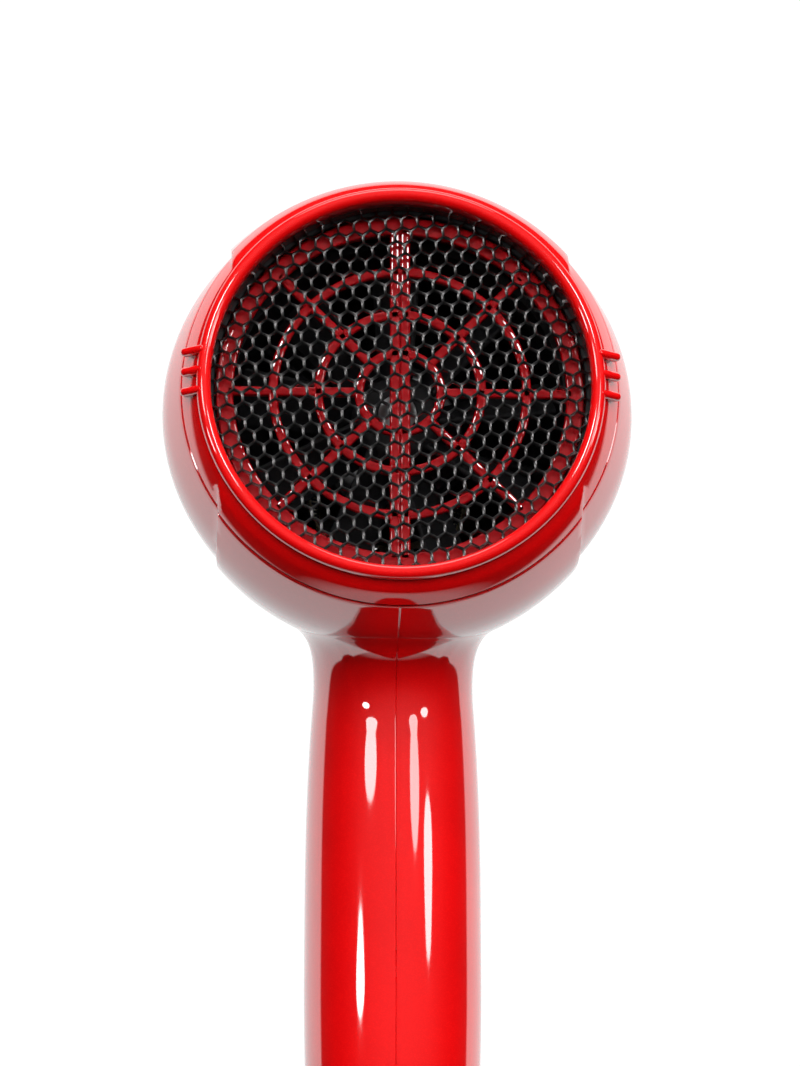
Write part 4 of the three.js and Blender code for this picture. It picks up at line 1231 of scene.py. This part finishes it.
def makeButton():
    top, radius, flange, foot = button["top"], button["radius"], button["flange"], button["flangeDepth"]
    plunger, low, shoulder = button["plunger"], button["plungerEnd"], foot + button["sheet"]
    profile = [(0.3, low), (plunger, low + 0.4), (plunger, foot)]
    step = [(plunger, foot), (flange, foot), (flange, shoulder), (radius, shoulder)]
    profile += softEdged(step, 0.25)[2:-4]
    profile += [(radius, shoulder), (radius, top - 0.8), (radius - 0.12, top - 0.35),
                (radius - 0.4, top - 0.08), (radius - 0.8, top)]
    profile += [(r, top - button["dish"] * (1 - (r / (radius - 0.8)) ** 2)) for r in (3.0, 2.2, 1.2, 0.2)]
    bm = bmesh.new()
    addLathe(bm, profile, "y", (0, 0, button["height"]), 64, closed=False)
    finishAs(newObject("coolButton", meshFrom(bm, "coolButton")), "cool_button")


spring = {"height": windows["buttonHeight"], "radius": 2.5, "wire": 0.34, "turns": 3, "rear": 62.4,
          "front": 68.8, "steps": 40, "pressed": 0.66}


# a round wire wound between the switch and the button; the real spring gets shorter as the button goes in,
# this mesh keeps its length
def makeSpring():
    rows = []
    for t in spread(0, 1, spring["turns"] * spring["steps"]):
        angle = 2 * math.pi * spring["turns"] * t
        out = Vector((math.sin(angle), 0, math.cos(angle)))
        depth = mix(spring["rear"], spring["front"], t)
        centre = out * spring["radius"] + Vector((0, depth, spring["height"]))
        rows.append([place(*(centre + (out * math.cos(b) + Vector((0, 1, 0)) * math.sin(b)) * spring["wire"]))
                     for b in [2 * math.pi * k / 12 for k in range(12)]])
    bm = bmesh.new()
    addRod(bm, rows)
    obj = finishAs(newObject("coolButtonSpring", meshFrom(bm, "coolButtonSpring")), "cool_button_spring")
    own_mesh(obj)


rocker = {"ridges": (-6.6, -5.2, -3.8, 3.8, 5.2, 6.6), "reach": 3.6, "radius": 0.42}


def makeRocker(name, node, height):
    obj = refined(name, node, 0.45, 3)
    face = local(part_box(node)[1]).y
    bm = bmesh.new()
    bm.from_mesh(obj.data)
    for shift in rocker["ridges"]:
        profile = [(0.08, -rocker["reach"]), (rocker["radius"], -rocker["reach"] + 0.35),
                   (rocker["radius"], rocker["reach"] - 0.35), (0.08, rocker["reach"])]
        drop = max(0.0, abs(shift) - 5.0) * 0.12
        addLathe(bm, profile, "x", (0, face - 0.18 - drop, height + shift), 14, closed=False)
    bm.to_mesh(obj.data)
    bm.free()
    finishAs(obj, node)


screw = {"head": 2.6, "headHeight": 1.9, "shank": 1.35, "root": 0.3, "thread": 1.0, "length": 18,
         "seat": -10.3, "recess": 1.7, "nodes": ("screw_upper", "screw_middle", "screw_lower")}


def makeScrews():
    head, shank, seat = screw["head"], screw["shank"], screw["seat"]
    top, tip, root = seat - screw["headHeight"], seat + screw["length"], shank - screw["root"]
    profile = [(0.2, top), (1.0, top - 0.02), (2.1, top + 0.12), (2.5, top + 0.5), (head, top + 0.95),
               (head, seat - 0.15), (head - 0.2, seat), (shank, seat)]
    s = seat + 0.6
    while s < tip - 1.5:
        profile += [(shank, s), (shank + 0.02, s + 0.1), (root, s + 0.55)]
        s += screw["thread"]
    profile += [(root, tip - 1), (0.2, tip)]
    bm = bmesh.new()
    addLathe(bm, profile, "x", (0, 0, 0), 32, closed=False)
    pattern = newObject("screwPattern", meshFrom(bm, "screwPattern"))
    bm = bmesh.new()
    for width, height in ((screw["recess"], 0.36), (0.36, screw["recess"])):
        outline = roundedBox(width * 2, height * 2, 0.12)
        made = addSheet(bm, [[place(x, u, v) for u, v in outline] for x in (top - 1, top + 0.95)], True)
        bm.faces.new(made[0])
        bm.faces.new(made[-1][::-1])
    tool = newObject("screwRecess", meshFrom(bm, "screwRecess"))
    cut = pattern.modifiers.new("recess", "BOOLEAN")
    cut.operation = "DIFFERENCE"
    cut.object = tool
    cut.solver = "EXACT"
    cut.use_self = True
    bakeModifiers(pattern)
    bpy.data.objects.remove(tool)
    pattern.data.transform(Matrix.Translation(-rimCentre))
    bm = bmesh.new()
    for y, z in windows["screws"]:
        bm.verts.new(place(0, y, z))
    spots = bpy.data.meshes.new("screws")
    bm.to_mesh(spots)
    bm.free()
    screws = newObject("shellScrews", spots)
    runTree(screws, setAt, {"Piece": pattern, "Material": materials["steel"]})
    bpy.data.objects.remove(pattern)
    finishAs(screws, *screw["nodes"])


bush = {"depth": windows["cord"][0], "neck": 5.6, "bore": 3.4, "flange": 7, "rise": 2, "tail": 2.7,
        "top": -172.3, "bottom": -175.3}


def makeBush():
    neck, bore, flange, top = bush["neck"], bush["bore"], bush["flange"], bush["top"]
    high, low = top + bush["rise"], bush["bottom"] - bush["tail"]
    profile = [(bore, low + 0.1), (bore + 0.4, low), (neck - 0.9, low), (neck - 0.25, low + 0.3),
               (neck, low + 0.9), (neck, top), (flange - 0.3, top), (flange, top + 0.3), (flange, high - 0.4),
               (flange - 0.4, high), (bore + 0.3, high), (bore, high - 0.3)]
    bm = bmesh.new()
    addLathe(bm, profile, "z", (0, bush["depth"], 0), 72)
    finishAs(newObject("cordInletBush", meshFrom(bm, "cordInletBush")), "cord_inlet_bush")


def makePin():
    low, high = local(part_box("loop_pin")[0]), local(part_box("loop_pin")[1])
    radius, end = (high.z - low.z) / 2, high.x
    profile = [(0.2, -end), (radius - 0.25, -end), (radius, -end + 0.25), (radius, end - 0.25),
               (radius - 0.25, end), (0.2, end)]
    bm = bmesh.new()
    addLathe(bm, profile, "x", (0, (low.y + high.y) / 2, (low.z + high.z) / 2), 32, closed=False)
    finishAs(newObject("loopPin", meshFrom(bm, "loopPin")), "loop_pin")


makeButton()
makeSpring()
makeRocker("speedRocker", "speed_rocker", windows["heights"][0])
makeRocker("heatRocker", "heat_rocker", windows["heights"][1])
makeScrews()
makeBush()
makePin()
finishAs(refined("hangLoop", "hang_loop", 0.8, 4), "hang_loop", sharp=50)
print("switches, screws and loop ready")

# what is left of the inside gets broken edges
edges = {"motor_shaft": 0.3, "armature": 0.3, "commutator": 0.2, "magnet_left": 0.3, "magnet_right": 0.3,
         "brush_left": 0.25, "brush_right": 0.25, "rectifier_board": 0.2, "heater_frame": 0.15,
         "thermostat": 0.5, "thermal_fuse": 0.5, "speed_switch_body": 0.5, "heat_switch_body": 0.5,
         "cool_switch_body": 0.5, "switch_carrier": 0.3}
for node, bevel in edges.items():
    finishAs(refined(pieceName(node), node, bevel), node)
print("inside ready")

# view, lights and floor; a light has its azimuth, elevation, distance, width, height and power
studio = {
    "target": (0.0, 10.1, -31.4),
    "distance": 0.874,
    "azimuth": -2.1,
    "elevation": -15.3,
    "lens": 137.5,
    "floor": -0.3,
    "floorSize": 9.0,
    "glossWall": (0.38, 0.43, 0.005, 1.1),
    "belowToward": (0, 0.5, -0.87),
    "belowWall": (0.84, 0.94, 0, 0.55),
    "mattFrom": (0.12, -0.8, 0.59),
    "mattWall": (0.45, 1.0, 0.015, 5.3),
    "lights": {
        "upperLeft": (-31, 15.5, 1.2, 0.36, 0.13, 0.5),
        "lowerLeft": (-44, 4, 1.2, 0.26, 0.12, 0.6),
        "upperRight": (25, 14, 1.2, 0.26, 0.2, 0.4),
        "lowerRight": (44, 9, 1.2, 0.26, 0.16, 0.5),
        "highLeft": (-13, 24, 1.2, 0.16, 0.12, 0.7),
        "highRight": (15, 24, 1.2, 0.16, 0.12, 0.6),
        "top": (0, 75, 1.6, 1.2, 0.8, 3.2),
    },
}


def direction(azimuth, elevation):
    a, e = math.radians(azimuth), math.radians(elevation)
    return Vector((math.sin(a) * math.cos(e), -math.cos(a) * math.cos(e), math.sin(e)))


def aim(obj, spot, target):
    obj.location = spot
    obj.rotation_euler = (target - spot).to_track_quat("-Z", "Y").to_euler()


def addCamera():
    camera = bpy.data.objects.new("camera", bpy.data.cameras.new("camera"))
    bpy.context.scene.collection.objects.link(camera)
    camera.data.lens = studio["lens"]
    camera.data.sensor_width = 36
    target = place(*studio["target"])
    aim(camera, target + direction(studio["azimuth"], studio["elevation"]) * studio["distance"], target)
    bpy.context.scene.camera = camera


def addSoftbox(name, azimuth, elevation, distance, width, height, power):
    lamp = bpy.data.lights.new(name, "AREA")
    lamp.shape = "ELLIPSE"
    lamp.size = width
    lamp.size_y = height
    lamp.energy = power
    obj = bpy.data.objects.new(name, lamp)
    bpy.context.scene.collection.objects.link(obj)
    target = place(*studio["target"])
    aim(obj, target + direction(azimuth, elevation) * distance, target)


def addFloor():
    half = studio["floorSize"] / 2
    corners = ((-half, -half), (half, -half), (half, half), (-half, half))
    bm = bmesh.new()
    bm.faces.new([bm.verts.new((x, y, studio["floor"])) for x, y in corners])
    floor = newObject("floor", meshFrom(bm, "floor"))
    floor.data.materials.append(grained("paleFloor", (0.86, 0.86, 0.86), 0.6, 0.0, 40, 0.03, strength=0.02))
    floor.visible_glossy = False
    floor.visible_diffuse = False


# gloss sees a white room in front of the nozzle and a dark one behind the camera, and matt light is soft
def addWorld():
    world = bpy.data.worlds.new("studio")
    bpy.context.scene.world = world
    world.use_nodes = True
    tree = world.node_tree
    link = tree.links.new
    backdrop = tree.nodes["Background"]
    coords = addNode(tree, "ShaderNodeTexCoord")
    fades = []
    for toward, wall in (((0, 1, 0), studio["glossWall"]), (studio["belowToward"], studio["belowWall"]),
                         (studio["mattFrom"], studio["mattWall"])):
        facing = addNode(tree, "ShaderNodeVectorMath", "DOT_PRODUCT", {1: toward})
        link(coords.outputs["Generated"], facing.inputs[0])
        fade = addNode(tree, "ShaderNodeMapRange",
                       values=dict(zip(("From Min", "From Max", "To Min", "To Max"), wall)))
        link(facing.outputs["Value"], fade.inputs["Value"])
        fades.append(fade.outputs["Result"])
    path = addNode(tree, "ShaderNodeLightPath")
    choose = addNode(tree, "ShaderNodeMix")
    link(path.outputs["Is Diffuse Ray"], choose.inputs["Factor"])
    gloss = addNode(tree, "ShaderNodeMath", "MAXIMUM")
    link(fades[0], gloss.inputs[0])
    link(fades[1], gloss.inputs[1])
    link(gloss.outputs["Value"], choose.inputs["A"])
    link(fades[2], choose.inputs["B"])
    seen = addNode(tree, "ShaderNodeMath", "MAXIMUM")
    link(choose.outputs["Result"], seen.inputs[0])
    link(path.outputs["Is Camera Ray"], seen.inputs[1])
    link(seen.outputs["Value"], backdrop.inputs["Strength"])
    backdrop.inputs["Color"].default_value = (1, 1, 1, 1)


bpy.context.scene.view_settings.view_transform = "Standard"
addCamera()
addFloor()
addWorld()
for lamp, setting in studio["lights"].items():
    addSoftbox(lamp, *setting)
print("studio ready")
